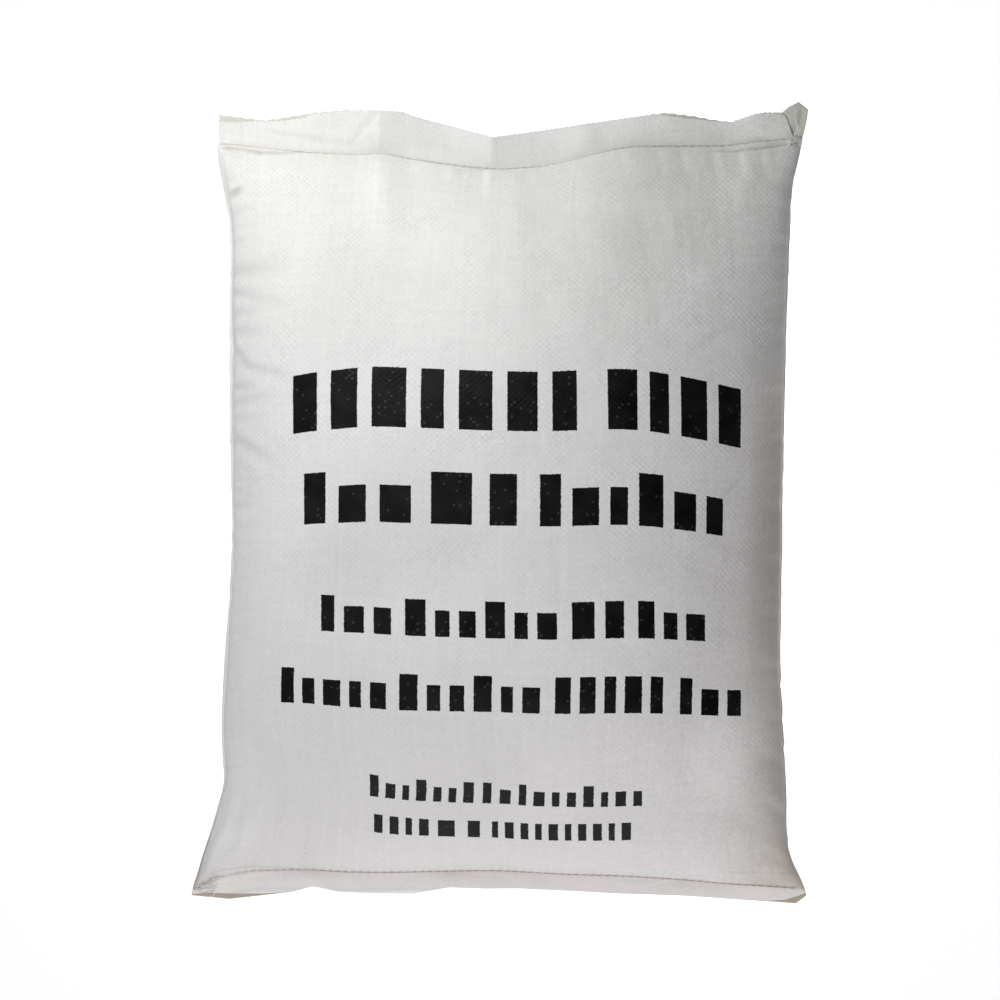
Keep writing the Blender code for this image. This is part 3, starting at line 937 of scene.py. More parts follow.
class Nodes:
    """A short way to write node trees."""

    def __init__(self, name):
        self.mat = bpy.data.materials.new(name)
        self.mat.use_nodes = True
        self.tree = self.mat.node_tree
        self.shader = next(n for n in self.tree.nodes if n.type == "BSDF_PRINCIPLED")

    def put(self, socket, value):
        if isinstance(value, bpy.types.NodeSocket):
            self.tree.links.new(value, socket)
        elif value is not None:
            socket.default_value = value

    def math(self, op, a, b=None, c=None, clamp=False):
        n = self.tree.nodes.new("ShaderNodeMath")
        n.operation = op
        n.use_clamp = clamp
        for i, v in enumerate((a, b, c)):
            self.put(n.inputs[i], v)
        return n.outputs[0]

    def mix(self, fac, a, b):
        n = self.tree.nodes.new("ShaderNodeMix")
        n.data_type = "RGBA"
        self.put(n.inputs[0], fac)
        self.put(n.inputs[6], a if isinstance(a, bpy.types.NodeSocket) else (*a, 1.0))
        self.put(n.inputs[7], b if isinstance(b, bpy.types.NodeSocket) else (*b, 1.0))
        return n.outputs[2]

    def combine(self, x, y, z=0.0):
        n = self.tree.nodes.new("ShaderNodeCombineXYZ")
        for i, v in enumerate((x, y, z)):
            self.put(n.inputs[i], v)
        return n.outputs[0]

    def noise(self, vector, scale, detail=2.0, rough=0.5):
        n = self.tree.nodes.new("ShaderNodeTexNoise")
        self.put(n.inputs["Vector"], vector)
        n.inputs["Scale"].default_value = scale
        n.inputs["Detail"].default_value = detail
        n.inputs["Roughness"].default_value = rough
        return n.outputs["Fac"]

    def white(self, vector):
        n = self.tree.nodes.new("ShaderNodeTexWhiteNoise")
        n.noise_dimensions = "3D"
        self.put(n.inputs["Vector"], vector)
        return n.outputs["Value"]

    def map_range(self, v, a, b, c, d):
        n = self.tree.nodes.new("ShaderNodeMapRange")
        n.clamp = True
        self.put(n.inputs[0], v)
        for i, w in enumerate((a, b, c, d)):
            n.inputs[1 + i].default_value = w
        return n.outputs[0]

    def uv(self, layer):
        n = self.tree.nodes.new("ShaderNodeUVMap")
        n.uv_map = layer
        s = self.tree.nodes.new("ShaderNodeSeparateXYZ")
        self.tree.links.new(n.outputs[0], s.inputs[0])
        return n.outputs[0], s.outputs[0], s.outputs[1]

    def scaled(self, colour, factor):
        n = self.tree.nodes.new("ShaderNodeVectorMath")
        n.operation = "SCALE"
        n.inputs[0].default_value = colour
        self.put(n.inputs[3], factor)
        return n.outputs[0]

    def bump(self, height, strength, distance):
        n = self.tree.nodes.new("ShaderNodeBump")
        n.inputs["Strength"].default_value = strength
        n.inputs["Distance"].default_value = distance
        self.put(n.inputs["Height"], height)
        return n.outputs[0]


def fabric_at(px, py):
    """Fabric coordinates of the front's place seen at a pixel of the photograph."""
    gx, gy = pixel_of(BODY[:, :FRONT_COLS + 1])
    j, k = np.unravel_index(np.argmin((gx - px) ** 2 + (gy - py) ** 2), gx.shape)
    j, k = int(np.clip(j, 1, FINE_ROWS - 1)), int(np.clip(k, 1, FRONT_COLS - 1))
    a = np.array([[gx[j, k + 1] - gx[j, k - 1], gx[j + 1, k] - gx[j - 1, k]],
                  [gy[j, k + 1] - gy[j, k - 1], gy[j + 1, k] - gy[j - 1, k]]])
    step = np.linalg.solve(a, np.array([px - gx[j, k], py - gy[j, k]]))
    return (float((RING_U[k] + step[0] * (RING_U[k + 1] - RING_U[k - 1])) * SACK_WIDTH),
            float((ROW_SHARE[j] + step[1] * (ROW_SHARE[j + 1] - ROW_SHARE[j - 1])) * SACK_LENGTH))


# The print: rows of plain solid blocks in black.  Each row gives three stations
# across the photograph (column, top, foot), the height of its low blocks as a
# share, the gap between blocks as a share of their width, and its groups of
# blocks as (start, end, number of blocks, every which one is tall).
PRINT_ROWS = (
    (((300, 378, 433), (517, 370, 431), (735, 386, 447)), 1.00, 0.50, ((293, 577, 7, 1), (608, 741, 4, 1))),
    (((300, 475, 525), (517, 474, 526), (735, 486, 538)), 0.72, 0.50, ((304, 411, 3, 3), (431, 517, 2, 1), (540, 723, 6, 3))),
    (((300, 596, 630), (517, 601, 639), (735, 606, 643)), 0.72, 0.55, ((321, 391, 3, 3), (405, 557, 6, 3), (572, 624, 2, 1), (638, 705, 3, 3))),
    (((300, 669, 703), (517, 675, 713), (735, 680, 716)), 0.72, 0.60, ((281, 386, 5, 5), (399, 540, 6, 3), (555, 663, 5, 1), (680, 741, 3, 3))),
    (((370, 774, 796), (506, 782, 804), (640, 786, 806)), 0.70, 0.80, ((370, 474, 7, 3), (483, 511, 2, 2), (519, 642, 8, 4))),
    (((374, 814, 832), (502, 821, 838), (631, 823, 840)), 1.00, 0.85, ((374, 429, 4, 1), (438, 480, 2, 1), (492, 631, 10, 1))),
)


def block_edges(lo, hi, count, gap, tall_step, want_tall):
    """Left and right edges of the blocks of one group, uneven in width."""
    share = [1.0 + 0.22 * math.sin(2.4 * i + 45.0 * lo) for i in range(count)]
    unit = (hi - lo) / (sum(share) + gap * (count - 1))
    out, x = [], lo
    for i, w in enumerate(share):
        if (i % tall_step == 0) == want_tall:
            out.append((x, x + w * unit))
        x += (w + gap) * unit
    return out


def inside_any(m, value, blocks):
    """1 inside the blocks and 0 outside, along value."""
    total = None
    for lo, hi in blocks:
        n = m.math("COMPARE", value, 0.5 * (lo + hi), 0.5 * (hi - lo))
        total = n if total is None else m.math("ADD", total, n)
    return total


def print_mask(m, u, v, low_spot):
    """Where the ink is: the blocks, a little ragged, less small light flecks."""
    ragged = m.noise(m.combine(u, v), 800.0, 2.0)
    ragged2 = m.noise(m.combine(v, u), 800.0, 2.0)
    uu = m.math("ADD", u, m.math("MULTIPLY", m.math("SUBTRACT", ragged, 0.5), 0.0016))
    vv = m.math("ADD", v, m.math("MULTIPLY", m.math("SUBTRACT", ragged2, 0.5), 0.0016))
    total = None
    for stations, low, gap, groups in PRINT_ROWS:
        columns = [float(st[0]) for st in stations]
        foot = [fabric_at(st[0], st[2]) for st in stations]
        top = [fabric_at(st[0], st[1]) for st in stations]
        height = sum(t[1] - f[1] for t, f in zip(top, foot)) / 3.0
        # the row follows a shallow curve through its three stations
        c2, c1, c0 = (float(c) for c in np.polyfit([f[0] for f in foot], [f[1] for f in foot], 2))
        row = m.math("SUBTRACT", vv, m.math("MULTIPLY_ADD", uu, m.math("MULTIPLY_ADD", uu, c2, c1), c0))
        # the blocks stand upright in the picture, whatever way the tapes lean
        u0, u1 = foot[0][0], foot[2][0]
        lean = [-(top[i][0] - foot[i][0]) / (top[i][1] - foot[i][1]) for i in (0, 2)]
        k = m.math("MULTIPLY_ADD", uu, (lean[1] - lean[0]) / (u1 - u0),
                   lean[0] - u0 * (lean[1] - lean[0]) / (u1 - u0))
        upright = m.math("MULTIPLY_ADD", m.math("SUBTRACT", row, 0.5 * height), k, uu)
        middle = np.polyfit(columns, [0.5 * (st[1] + st[2]) for st in stations], 2)
        tall, short = [], []
        for lo, hi, count, step in groups:
            a, b = (fabric_at(x, float(np.polyval(middle, x)))[0] for x in (lo, hi))
            tall += block_edges(a, b, count, gap, step, True)
            short += block_edges(a, b, count, gap, step, False)
        part = m.math("MULTIPLY", inside_any(m, upright, tall),
                      m.math("COMPARE", row, 0.5 * height, 0.5 * height))
        if short:
            more = m.math("MULTIPLY", inside_any(m, upright, short),
                          m.math("COMPARE", row, 0.5 * low * height, 0.5 * low * height))
            part = m.math("ADD", part, more)
        total = part if total is None else m.math("ADD", total, part)
    front = m.math("LESS_THAN", u, SACK_WIDTH)
    total = m.math("MULTIPLY", m.math("MINIMUM", total, 1.0), front)
    return m.math("MULTIPLY", total, m.math("SUBTRACT", 1.0, low_spot))


# painted shade colours for the turned fold edge and the hems' inside faces, and a brownish stain colour that also
# carries painted shade in the seams and pleats
PAINTED_SHADE_BLUE_GREY = (0.66, 0.68, 0.69)
PAINTED_SHADE_OLIVE_GREY = (0.70, 0.70, 0.64)
PAINTED_SHADE_BROWN_GREY = (0.52, 0.46, 0.37)
STAIN_AND_GROOVE_SHADE = (0.30, 0.165, 0.11)


def near(m, value, centre, full, none):
    """1 close to centre, falling to 0 at the distance none."""
    return m.map_range(m.math("ABSOLUTE", m.math("SUBTRACT", value, centre)), full, none, 1.0, 0.0)


# soft patches of painted light and painted shade that lighten or darken the cloth: centre, radii, amount
PAINTED_LIGHT_AND_SHADE = (((432.0, 208.0), (100.0, 82.0), 0.07), ((650.0, 160.0), (120.0, 50.0), -0.08),
                   ((500.0, 292.0), (120.0, 95.0), 0.045), ((520.0, 640.0), (170.0, 95.0), 0.05),
                   ((650.0, 705.0), (150.0, 125.0), 0.09), ((784.0, 560.0), (52.0, 210.0), -0.17),
                   ((605.0, 258.0), (70.0, 60.0), -0.04), ((240.0, 430.0), (40.0, 260.0), -0.03),
                   ((500.0, 850.0), (360.0, 45.0), 0.035), ((742.0, 126.0), (40.0, 17.0), -0.24),
                   ((480.0, 886.0), (420.0, 13.0), 0.42), ((345.0, 120.0), (36.0, 12.0), -0.07), ((330.0, 165.0), (150.0, 40.0), 0.02),
                   ((665.0, 215.0), (95.0, 62.0), -0.075), ((372.0, 122.0), (56.0, 14.0), -0.09),
                   ((600.0, 122.0), (40.0, 16.0), -0.10), ((400.0, 520.0), (95.0, 85.0), -0.07),
                   ((768.0, 548.0), (34.0, 155.0), -0.18), ((728.0, 765.0), (60.0, 62.0), 0.09),
                   ((234.0, 805.0), (52.0, 85.0), 0.08), ((442.0, 168.0), (60.0, 28.0), 0.06),
                   ((335.0, 572.0), (60.0, 52.0), -0.07), ((345.0, 300.0), (62.0, 90.0), -0.05),
                   ((612.0, 290.0), (62.0, 90.0), -0.05), ((726.0, 728.0), (46.0, 92.0), 0.10), ((540.0, 805.0), (52.0, 55.0), 0.045),
                   ((762.0, 395.0), (26.0, 70.0), -0.07), ((765.0, 712.0), (24.0, 60.0), 0.07))
# brownish stain and painted shade along the pleats: start, end, width, strength
PLEAT_SHADE_LINES = (((221.0, 148.5), (262.0, 154.0), 0.0019, 0.36), ((258.0, 154.0), (312.0, 152.5), 0.0017, 0.24),
               ((708.0, 150.8), (757.0, 149.0), 0.0016, 0.26), ((752.0, 149.6), (795.0, 143.6), 0.0016, 0.24),
               ((212.0, 873.0), (300.0, 868.5), 0.0020, 0.16), ((728.0, 872.0), (796.0, 872.0), 0.0022, 0.16))
# painted shade in the deeper folds of the two sides: start, end, half width, strength
PAINTED_FOLD_SHADE = (((230.0, 193.5), (243.0, 187.0), 0.0030, 0.26), ((232.0, 213.0), (254.0, 206.0), 0.0054, 0.05),
               ((232.0, 272.0), (292.0, 264.0), 0.0121, 0.07), ((232.0, 290.0), (262.0, 293.0), 0.0068, 0.07),
               ((246.0, 294.0), (290.0, 305.0), 0.0095, 0.04), ((232.0, 315.0), (262.0, 309.0), 0.0068, 0.05),
               ((232.0, 334.0), (270.0, 328.0), 0.0081, 0.05), ((234.0, 345.0), (252.0, 366.0), 0.0054, 0.13),
               ((246.0, 362.0), (296.0, 378.0), 0.0068, 0.09), ((232.0, 387.0), (256.0, 385.0), 0.0054, 0.09),
               ((232.0, 403.0), (280.0, 394.0), 0.0061, 0.06), ((232.0, 434.0), (282.0, 466.0), 0.0081, 0.08),
               ((232.0, 462.0), (256.0, 472.0), 0.0054, 0.05), ((232.0, 490.0), (256.0, 493.0), 0.0054, 0.05),
               ((232.0, 506.0), (258.0, 502.0), 0.0054, 0.06), ((722.0, 499.0), (746.0, 472.0), 0.0022, 0.10),
               ((738.0, 452.0), (790.0, 428.0), 0.0054, 0.04), ((695.0, 350.0), (742.0, 314.0), 0.0054, 0.04),
               ((721.0, 563.0), (731.0, 555.0), 0.0024, 0.08), ((464.0, 750.0), (506.0, 782.0), 0.0149, 0.03))


def woven_material(name, base=(0.83, 0.828, 0.82), printed=False, inner=None):
    m = Nodes(name)
    vec, u, v = m.uv("fabric")
    # a slow wander of the tapes, so that the grid isn't ruled
    wander = m.noise(vec, 14.0, 2.0)
    wander2 = m.noise(m.combine(v, u), 17.0, 2.0)
    a = m.math("MULTIPLY_ADD", m.math("SUBTRACT", wander, 0.5), 2.6, m.math("DIVIDE", u, WARP_PITCH))
    b = m.math("MULTIPLY_ADD", m.math("SUBTRACT", wander2, 0.5), 2.6, m.math("DIVIDE", v, WEFT_PITCH))
    ia, ib = m.math("FLOOR", a), m.math("FLOOR", b)
    sa = m.math("SINE", m.math("MULTIPLY", a, math.pi))
    sb = m.math("SINE", m.math("MULTIPLY", b, math.pi))
    check = m.math("MULTIPLY", sa, sb)               # 1 where a warp tape lies on top, -1 a weft tape
    grid = m.math("MULTIPLY", m.math("ABSOLUTE", sa), m.math("ABSOLUTE", sb))   # 0 between the tapes
    warp_tone = m.white(m.combine(ia, 3.0, 1.0))
    weft_tone = m.white(m.combine(7.0, ib, 2.0))
    spot = m.white(m.combine(ia, ib, 5.0))
    lively = m.map_range(m.noise(vec, 34.0, 3.0), 0.32, 0.68, 0.15, 1.50)
    # the cloth is pulled smooth over the lower third, and rough on the right
    lively = m.math("MULTIPLY", lively, m.map_range(v, 0.10, 0.36, 0.55, 1.05))
    rough = m.map_range(u, 0.55 * SACK_WIDTH, 0.92 * SACK_WIDTH, 0.0, 1.0)
    rough = m.math("MULTIPLY", rough, m.map_range(u, SACK_WIDTH, 1.1 * SACK_WIDTH, 1.0, 0.0))
    lively = m.math("MULTIPLY_ADD", m.math("MULTIPLY", lively, rough), 0.12, lively)
    if not printed:
        lively = m.math("MULTIPLY", lively, 0.6)
    speck = m.noise(vec, 300.0, 1.0)
    # tapes that stand out for a while and fade again
    along = m.noise(m.combine(m.math("MULTIPLY", u, 300.0), m.math("MULTIPLY", v, 11.0)), 1.0, 3.0, 0.6)
    streak = m.map_range(along, 0.50, 0.74, 0.0, 1.0)
    across = m.noise(m.combine(m.math("MULTIPLY", u, 16.0), m.math("MULTIPLY", v, 260.0), 4.0), 1.0, 2.0, 0.5)
    cloud = m.noise(vec, 9.0, 3.0, 0.55)
    pebble = m.noise(vec, 95.0, 2.0)
    light = m.math("MULTIPLY_ADD", m.math("MULTIPLY", check, lively), 0.020, 0.970)
    sunk = m.math("MAXIMUM", m.math("MULTIPLY", check, -1.0), 0.0)
    sunk = m.math("MULTIPLY", m.math("MULTIPLY", sunk, sunk), lively)
    light = m.math("MULTIPLY_ADD", sunk, -0.050, light)
    light = m.math("MULTIPLY_ADD", grid, 0.012, light)
    light = m.math("MULTIPLY_ADD", m.math("MULTIPLY", m.math("SUBTRACT", speck, 0.5), m.math("ADD", rough, 0.50)), 0.16, light)
    light = m.math("MULTIPLY_ADD", warp_tone, 0.022, light)
    light = m.math("MULTIPLY_ADD", weft_tone, 0.014, light)
    light = m.math("MULTIPLY_ADD", m.math("MULTIPLY", m.math("SUBTRACT", spot, 0.5), lively), 0.044, light)
    light = m.math("MULTIPLY_ADD", streak, 0.030, light)
    light = m.math("MULTIPLY_ADD", m.math("SUBTRACT", across, 0.5), 0.040, light)
    light = m.math("MULTIPLY_ADD", m.math("SUBTRACT", cloud, 0.5), 0.060, light)
    light = m.math("MULTIPLY_ADD", m.math("MULTIPLY", m.math("SUBTRACT", pebble, 0.5), m.math("ADD", rough, 0.8)), 0.055, light)
    tone = m.math("MULTIPLY_ADD", m.math("SUBTRACT", cloud, 0.5), 0.5, 0.5)
    # painted shade along the deeper folds
    for start, end, wide, strength in PAINTED_FOLD_SHADE if printed else ():
        (u0, v0), (u1, v1) = fabric_at(*start), fabric_at(*end)
        off = m.math("SUBTRACT", v, m.math("MULTIPLY_ADD", u, (v1 - v0) / (u1 - u0), v0 - u0 * (v1 - v0) / (u1 - u0)))
        steep = math.hypot(1.0, (v1 - v0) / (u1 - u0))
        line = m.math("MULTIPLY", near(m, off, 0.0, 0.1 * wide * steep, wide * steep),
                      near(m, u, 0.5 * (u0 + u1), 0.18 * abs(u1 - u0), 0.60 * abs(u1 - u0)))
        light = m.math("MULTIPLY", light, m.math("MULTIPLY_ADD", line, -0.8 * strength, 1.0))
    # painted shade: the walls beside both pressed folds are darker
    wall_shade = m.math("MAXIMUM", m.math("MULTIPLY", near(m, u, 0.0095, 0.0050, 0.016), 0.15),
                  m.math("MULTIPLY", near(m, u, SACK_WIDTH, 0.008, 0.040), m.map_range(v, 0.40, 0.50, 0.72, 0.40)))
    wall_shade = m.math("MULTIPLY", wall_shade, m.map_range(v, 0.02, 0.10, 0.3, 1.0))
    light = m.math("MULTIPLY", light, m.math("MULTIPLY_ADD", wall_shade, -0.19, 1.0))
    # painted light and painted shade: soft patches that lighten or darken the cloth
    for (cx, cy), (rx, ry), amount in PAINTED_LIGHT_AND_SHADE:
        u0, v0 = fabric_at(cx, cy)
        du = m.math("MULTIPLY", m.math("SUBTRACT", u, u0), 1.0 / (rx * PX))
        dv = m.math("MULTIPLY", m.math("SUBTRACT", v, v0), 1.0 / (ry * PX))
        d2 = m.math("ADD", m.math("MULTIPLY", du, du), m.math("MULTIPLY", dv, dv))
        light = m.math("MULTIPLY", light, m.map_range(d2, 0.0, 1.0, 1.0 + amount, 1.0))
    colour = m.scaled(base, m.math("MULTIPLY", light, 0.985))
    patchy = m.map_range(m.noise(vec, 70.0, 2.0), 0.35, 0.62, 0.35, 1.0)
    dash = m.math("MULTIPLY_ADD", m.math("SINE", m.math("MULTIPLY", u, 2 * math.pi / 0.0062)), 0.35, 0.65)
    if inner is None:
        # brownish stain and painted shade in the grooves and needle holes along the closing seams
        low = m.math("MAXIMUM", m.math("MULTIPLY", near(m, v, 0.0004, 0.0008, 0.0040), 0.48),
                     m.math("MULTIPLY", near(m, v, -0.001, 0.002, 0.014), 0.07))
        high = m.math("MULTIPLY", near(m, v, SACK_LENGTH, 0.0004, 0.0020), 0.34)
        worn = m.math("MULTIPLY", m.math("MAXIMUM", low, high), m.math("MULTIPLY", dash, patchy))
        colour = m.mix(m.math("MULTIPLY", worn, 1.0), colour, STAIN_AND_GROOVE_SHADE)
        # the lower hem is pinkish in tone and a little brighter, the brightening painted light
        blush_and_painted_light = m.math("MULTIPLY", near(m, v, -0.008, 0.0070, 0.0095), m.math("MULTIPLY_ADD", patchy, 0.35, 0.30))
        colour = m.mix(blush_and_painted_light, colour, (1.0, 0.955, 0.935))
        # faint lines along the pleats under both ends of the upper seam, and
        # brownish stain and painted shade in faint lines along the pleats under both ends of the upper seam, and
        # under the left end of the lower one
        for start, end, wide, strength in PLEAT_SHADE_LINES:
            (u0, v0), (u1, v1) = fabric_at(*start), fabric_at(*end)
            off = m.math("SUBTRACT", v, m.math("MULTIPLY_ADD", u, (v1 - v0) / (u1 - u0), v0 - u0 * (v1 - v0) / (u1 - u0)))
            line = m.math("MULTIPLY", near(m, off, 0.0, 0.15 * wide, wide), near(m, u, 0.5 * (u0 + u1), 0.42 * abs(u1 - u0), 0.52 * abs(u1 - u0)))
            colour = m.mix(m.math("MULTIPLY", m.math("MULTIPLY", line, m.math("MULTIPLY_ADD", patchy, 0.5, 0.5)), strength), colour, STAIN_AND_GROOVE_SHADE)
    if printed:
        # painted shade on the edges of the left fold, a little darker: blue-grey all along, olive-grey in its upper
        # part and brown-grey in its lower part, for the turned edge in shade; and brownish, darker towards the lower
        # corners
        slim = m.math("MINIMUM", m.map_range(v, 0.03, 0.12, 0.0040, 0.0075),
                      m.map_range(v, SACK_LENGTH - 0.13, SACK_LENGTH - 0.03, 0.0075, 0.0034))
        fold = m.math("MAXIMUM", m.map_range(m.math("SUBTRACT", slim, u), 0.0, 0.0015, 0.0, 1.0),
                      m.math("GREATER_THAN", u, 2 * SACK_WIDTH - 0.006))
        high_v = fabric_at(236.0, 205.0)[1]
        low_v = fabric_at(222.0, 836.0)[1]
        upper = m.math("MULTIPLY", m.map_range(v, high_v - 0.012, high_v + 0.004, 0.0, 1.0),
                       m.map_range(v, SACK_LENGTH - 0.014, SACK_LENGTH - 0.008, 1.0, 0.0))
        lower = m.map_range(v, low_v - 0.004, low_v + 0.003, 1.0, 0.0)
        colour = m.mix(m.math("MULTIPLY", fold, 0.32), colour, PAINTED_SHADE_BLUE_GREY)
        colour = m.mix(m.math("MULTIPLY", fold, m.math("MULTIPLY", upper, 0.85)), colour, PAINTED_SHADE_OLIVE_GREY)
        colour = m.mix(m.math("MULTIPLY", fold, m.math("MULTIPLY", lower, 0.9)), colour, PAINTED_SHADE_BROWN_GREY)
        # brownish and darker towards both lower corners
        corner = m.math("MULTIPLY", near(m, u, SACK_WIDTH, 0.004, 0.075), m.map_range(v, 0.0, 0.085, 1.0, 0.0))
        corner2 = m.math("MULTIPLY", near(m, u, 0.0, 0.004, 0.030), m.map_range(v, 0.0, 0.035, 1.0, 0.0))
        corner_brown = m.math("MULTIPLY_ADD", corner2, 0.16, m.math("MULTIPLY", corner, 0.42))
        colour = m.mix(m.math("MULTIPLY", corner_brown, patchy), colour, (0.40, 0.29, 0.20))
        # a browner, darker right side, partly dust and partly painted shade, and small brown specks low on the left
        side = m.math("MULTIPLY", near(m, u, SACK_WIDTH, 0.006, 0.055), m.map_range(v, 0.30, 0.42, 1.0, 0.0))
        colour = m.mix(m.math("MULTIPLY", side, 0.26), colour, (0.56, 0.44, 0.34))
        # painted highlight: a pale band along the right fold, where the turned edge catches the light
        rim = m.math("MULTIPLY", near(m, u, SACK_WIDTH, 0.0090, 0.0130), m.math("MULTIPLY", m.map_range(v, 0.14, 0.20, 0.0, 1.0), m.map_range(v, 0.34, 0.42, 1.0, 0.0)))
        colour = m.mix(m.math("MULTIPLY", rim, 0.8), colour, (0.92, 0.91, 0.90))
        brown = near(m, u, fabric_at(305.0, 840.0)[0], 0.0015, 0.0060)
        drawn = m.noise(m.combine(m.math("MULTIPLY", u, 900.0), m.math("MULTIPLY", v, 330.0), 9.0), 1.0, 1.0)
        brown = m.math("MULTIPLY", m.math("MULTIPLY", brown, m.map_range(drawn, 0.52, 0.66, 0.0, 1.0)), m.map_range(v, 0.050, 0.075, 1.0, 0.0))
        colour = m.mix(m.math("MULTIPLY", brown, 0.30), colour, (0.45, 0.35, 0.24))
        flecks = m.math("MULTIPLY", m.math("GREATER_THAN", spot, 0.90), m.math("LESS_THAN", check, -0.35))
        ink = print_mask(m, u, v, m.math("MULTIPLY", flecks, 0.04))
        black = m.mix(m.map_range(m.noise(vec, 60.0, 2.0), 0.35, 0.70, 0.0, 0.75), (0.0015, 0.0015, 0.0015), (0.010, 0.0096, 0.0092))
        colour = m.mix(ink, colour, black)
    # painted shade: the inside faces get a darker olive or brown-grey copy of the fabric colour
    if inner is not None:
        colour = m.mix(0.55, m.scaled(inner, m.math("MULTIPLY_ADD", m.math("SUBTRACT", patchy, 0.6), 0.12, light)), inner)
    m.put(m.shader.inputs["Base Color"], colour)
    m.put(m.shader.inputs["Roughness"], m.math("MULTIPLY_ADD", tone, 0.12, 0.46))
    height = m.math("MULTIPLY", check, m.math("MULTIPLY", lively, 0.5))
    height = m.math("MULTIPLY_ADD", grid, 0.25, height)
    height = m.math("MULTIPLY_ADD", spot, 0.28, height)
    height = m.math("MULTIPLY_ADD", streak, 0.45, height)
    height = m.math("MULTIPLY_ADD", across, 0.5, height)
    height = m.math("MULTIPLY_ADD", pebble, 1.6, height)
    m.put(m.shader.inputs["Normal"], m.bump(height, 0.75, 0.00018))
    m.shader.inputs["Sheen Weight"].default_value = 0.03
    m.shader.inputs["Sheen Roughness"].default_value = 0.4
    m.shader.inputs["Specular IOR Level"].default_value = 0.16
    return m.mat


def thread_material(name, base=(0.80, 0.79, 0.75), left=None):
    m = Nodes(name)
    coord = m.tree.nodes.new("ShaderNodeTexCoord").outputs["Object"]
    place = m.tree.nodes.new("ShaderNodeSeparateXYZ")
    m.put(place.inputs[0], coord)
    worn = m.map_range(place.outputs[0], -0.10, 0.02, 1.0, 0.0)
    twist = m.tree.nodes.new("ShaderNodeTexWave")
    twist.wave_type = "BANDS"
    twist.bands_direction = "DIAGONAL"
    twist.inputs["Scale"].default_value = 900.0
    twist.inputs["Distortion"].default_value = 1.5
    m.put(twist.inputs["Vector"], coord)
    fuzz = m.noise(coord, 700.0, 3.0)
    colour = m.mix(m.math("MULTIPLY", twist.outputs["Fac"], 0.6), tuple(0.72 * c for c in base), base)
    if left is not None:                                # paler towards the left end
        colour = m.mix(m.math("MULTIPLY", worn, 0.85), colour, left)
    colour = m.mix(m.math("MULTIPLY", fuzz, 0.3), colour, (0.90, 0.89, 0.86))
    m.put(m.shader.inputs["Base Color"], colour)
    m.put(m.shader.inputs["Roughness"], m.math("ADD", 0.55, m.math("MULTIPLY", fuzz, 0.25)))
    m.put(m.shader.inputs["Normal"], m.bump(twist.outputs["Fac"], 0.5, 0.0002))
    return m.mat


FABRIC_PRINTED = woven_material("woven_fabric_front", printed=True)
FABRIC_PLAIN = woven_material("woven_fabric_hem")
# the inside faces: darker copies of the fabric with painted shade
INNER_UPPER_PAINTED_SHADE = woven_material("woven_fabric_inside_upper_painted_shade", inner=PAINTED_SHADE_OLIVE_GREY)
INNER_LOWER_PAINTED_SHADE = woven_material("woven_fabric_inside_lower_painted_shade", inner=PAINTED_SHADE_BROWN_GREY)
THREAD_UPPER = thread_material("sewing_thread_upper", (0.72, 0.66, 0.58), (0.86, 0.80, 0.74))
THREAD_LOWER = thread_material("sewing_thread_lower", (0.84, 0.72, 0.65), (0.84, 0.74, 0.67))
THREAD_LOOSE = thread_material("sewing_thread_loose", (0.94, 0.93, 0.90))

sack.data.materials.append(FABRIC_PRINTED)
for p in pieces[1:]:
    p.data.materials.append(FABRIC_PLAIN)
    p.data.materials.append(INNER_UPPER_PAINTED_SHADE if p.name.startswith("upper") else INNER_LOWER_PAINTED_SHADE)
for p, top in threads:
    p.data.materials.append(THREAD_UPPER if top else THREAD_LOWER)
    p.data.materials.append(THREAD_LOOSE)

for p in pieces:
    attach(p, "root")
    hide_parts("sack")
for p, top in threads:
    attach(p, "root")
    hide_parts("top_seam_thread" if top else "bottom_seam_thread")


# ------------------------------------------------- floor, lights and camera

def build_floor():
    size = 6.0
    mesh = bpy.data.meshes.new("floor")
    mesh.from_pydata([(-size, -size, 0), (size, -size, 0), (size, size, 0), (-size, size, 0)],
                     [], [(0, 1, 2, 3)])
    floor = new_object("floor", mesh, smooth=False)
    floor.location.z = -0.0002
    m = Nodes("floor_pale")
    coord = m.tree.nodes.new("ShaderNodeTexCoord").outputs["Object"]
    soft = m.noise(coord, 2.0, 2.0)
    m.put(m.shader.inputs["Base Color"], m.mix(soft, (0.925, 0.925, 0.925), (0.94, 0.94, 0.94)))
    m.shader.inputs["Roughness"].default_value = 0.8
    floor.data.materials.append(m.mat)
    return floor


def area_light(name, direction, size, power, colour=(1, 1, 1), distance=3.0):
    light = bpy.data.lights.new(name, "AREA")
    light.shape = "SQUARE"
    light.size = size
    light.energy = power
    light.color = colour
    obj = bpy.data.objects.new(name, light)
    bpy.context.scene.collection.objects.link(obj)
    obj.visible_camera = False
    d = np.array(direction, float)
    d /= np.linalg.norm(d)
    obj.location = (float(d[0] * distance), float(d[1] * distance), float(d[2] * distance) + 0.06)
    from mathutils import Vector
    obj.rotation_euler = Vector([float(v) for v in d]).to_track_quat("Z", "Y").to_euler()
    return obj


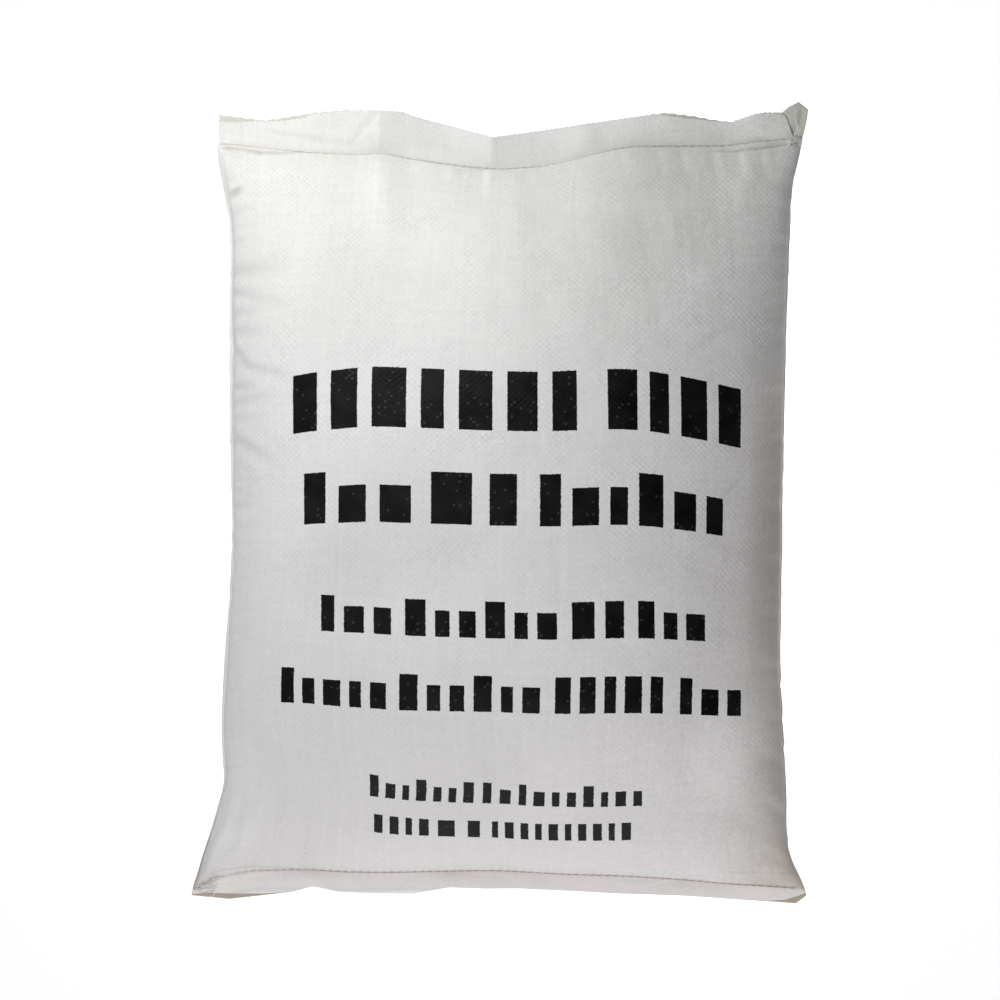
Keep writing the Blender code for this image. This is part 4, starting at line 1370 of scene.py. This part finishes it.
def light_from(name, azimuth, elevation, distance, size, power, colour=(1, 1, 1)):
    a, e = math.radians(azimuth), math.radians(elevation)
    return area_light(name, (math.cos(a) * math.cos(e), math.sin(a) * math.cos(e), math.sin(e)),
                      size, power, colour, distance)


floor = build_floor()
light_from("key_low", 115, 15, 0.85, 0.35, 1.82, (1.0, 0.975, 0.91))
light_from("key_high", 115, 52, 0.85, 0.35, 2.66, (0.945, 0.955, 1.0))
light_from("key_middle", 140, 52, 0.85, 0.35, 0.71, (0.94, 1.0, 0.73))
light_from("key_left", 190, 52, 0.85, 0.35, 0.71, (0.70, 0.70, 1.0))
light_from("fill_front", 270, 42, 3.0, 1.4, 39.0, (1.0, 0.955, 0.925))
light_from("fill_front_low", 270, 14, 3.0, 1.4, 14.0, (0.90, 0.92, 1.0))
# the floor has a wide soft light of its own, so that it stays pale all over
wash = light_from("floor_wash", 90, 89, 3.2, 3.5, 158.0)
only_floor = bpy.data.collections.new("floor_only")
only_floor.objects.link(floor)
wash.light_linking.receiver_collection = only_floor
wash.light_linking.blocker_collection = only_floor
# and the lamps above light the sack alone, so that no shadow stains the floor
sack_pieces = bpy.data.collections.new("sack_pieces")
for p in pieces + [p for p, top in threads]:
    sack_pieces.objects.link(p)
for lamp in [o for o in bpy.context.scene.objects if o.type == "LIGHT" and o != wash]:
    lamp.light_linking.receiver_collection = sack_pieces

world = bpy.data.worlds.new("studio")
world.use_nodes = True
world.node_tree.nodes["Background"].inputs[0].default_value = (1.0, 1.0, 1.0, 1.0)
world.node_tree.nodes["Background"].inputs[1].default_value = 0.0
bpy.context.scene.world = world

cam = bpy.data.cameras.new("camera")
cam.sensor_fit = "HORIZONTAL"
cam.sensor_width = 36.0
cam.lens = 36.0 * (CAMERA_HEIGHT - WIDEST_Z) / (1000.0 * PX)
cam.clip_end = 50.0
camera = bpy.data.objects.new("camera", cam)
camera.location = (0.0, 0.0, CAMERA_HEIGHT)
camera.rotation_euler = (0.0, 0.0, 0.0)
bpy.context.scene.collection.objects.link(camera)
bpy.context.scene.camera = camera
bpy.context.scene.view_settings.view_transform = "Standard"
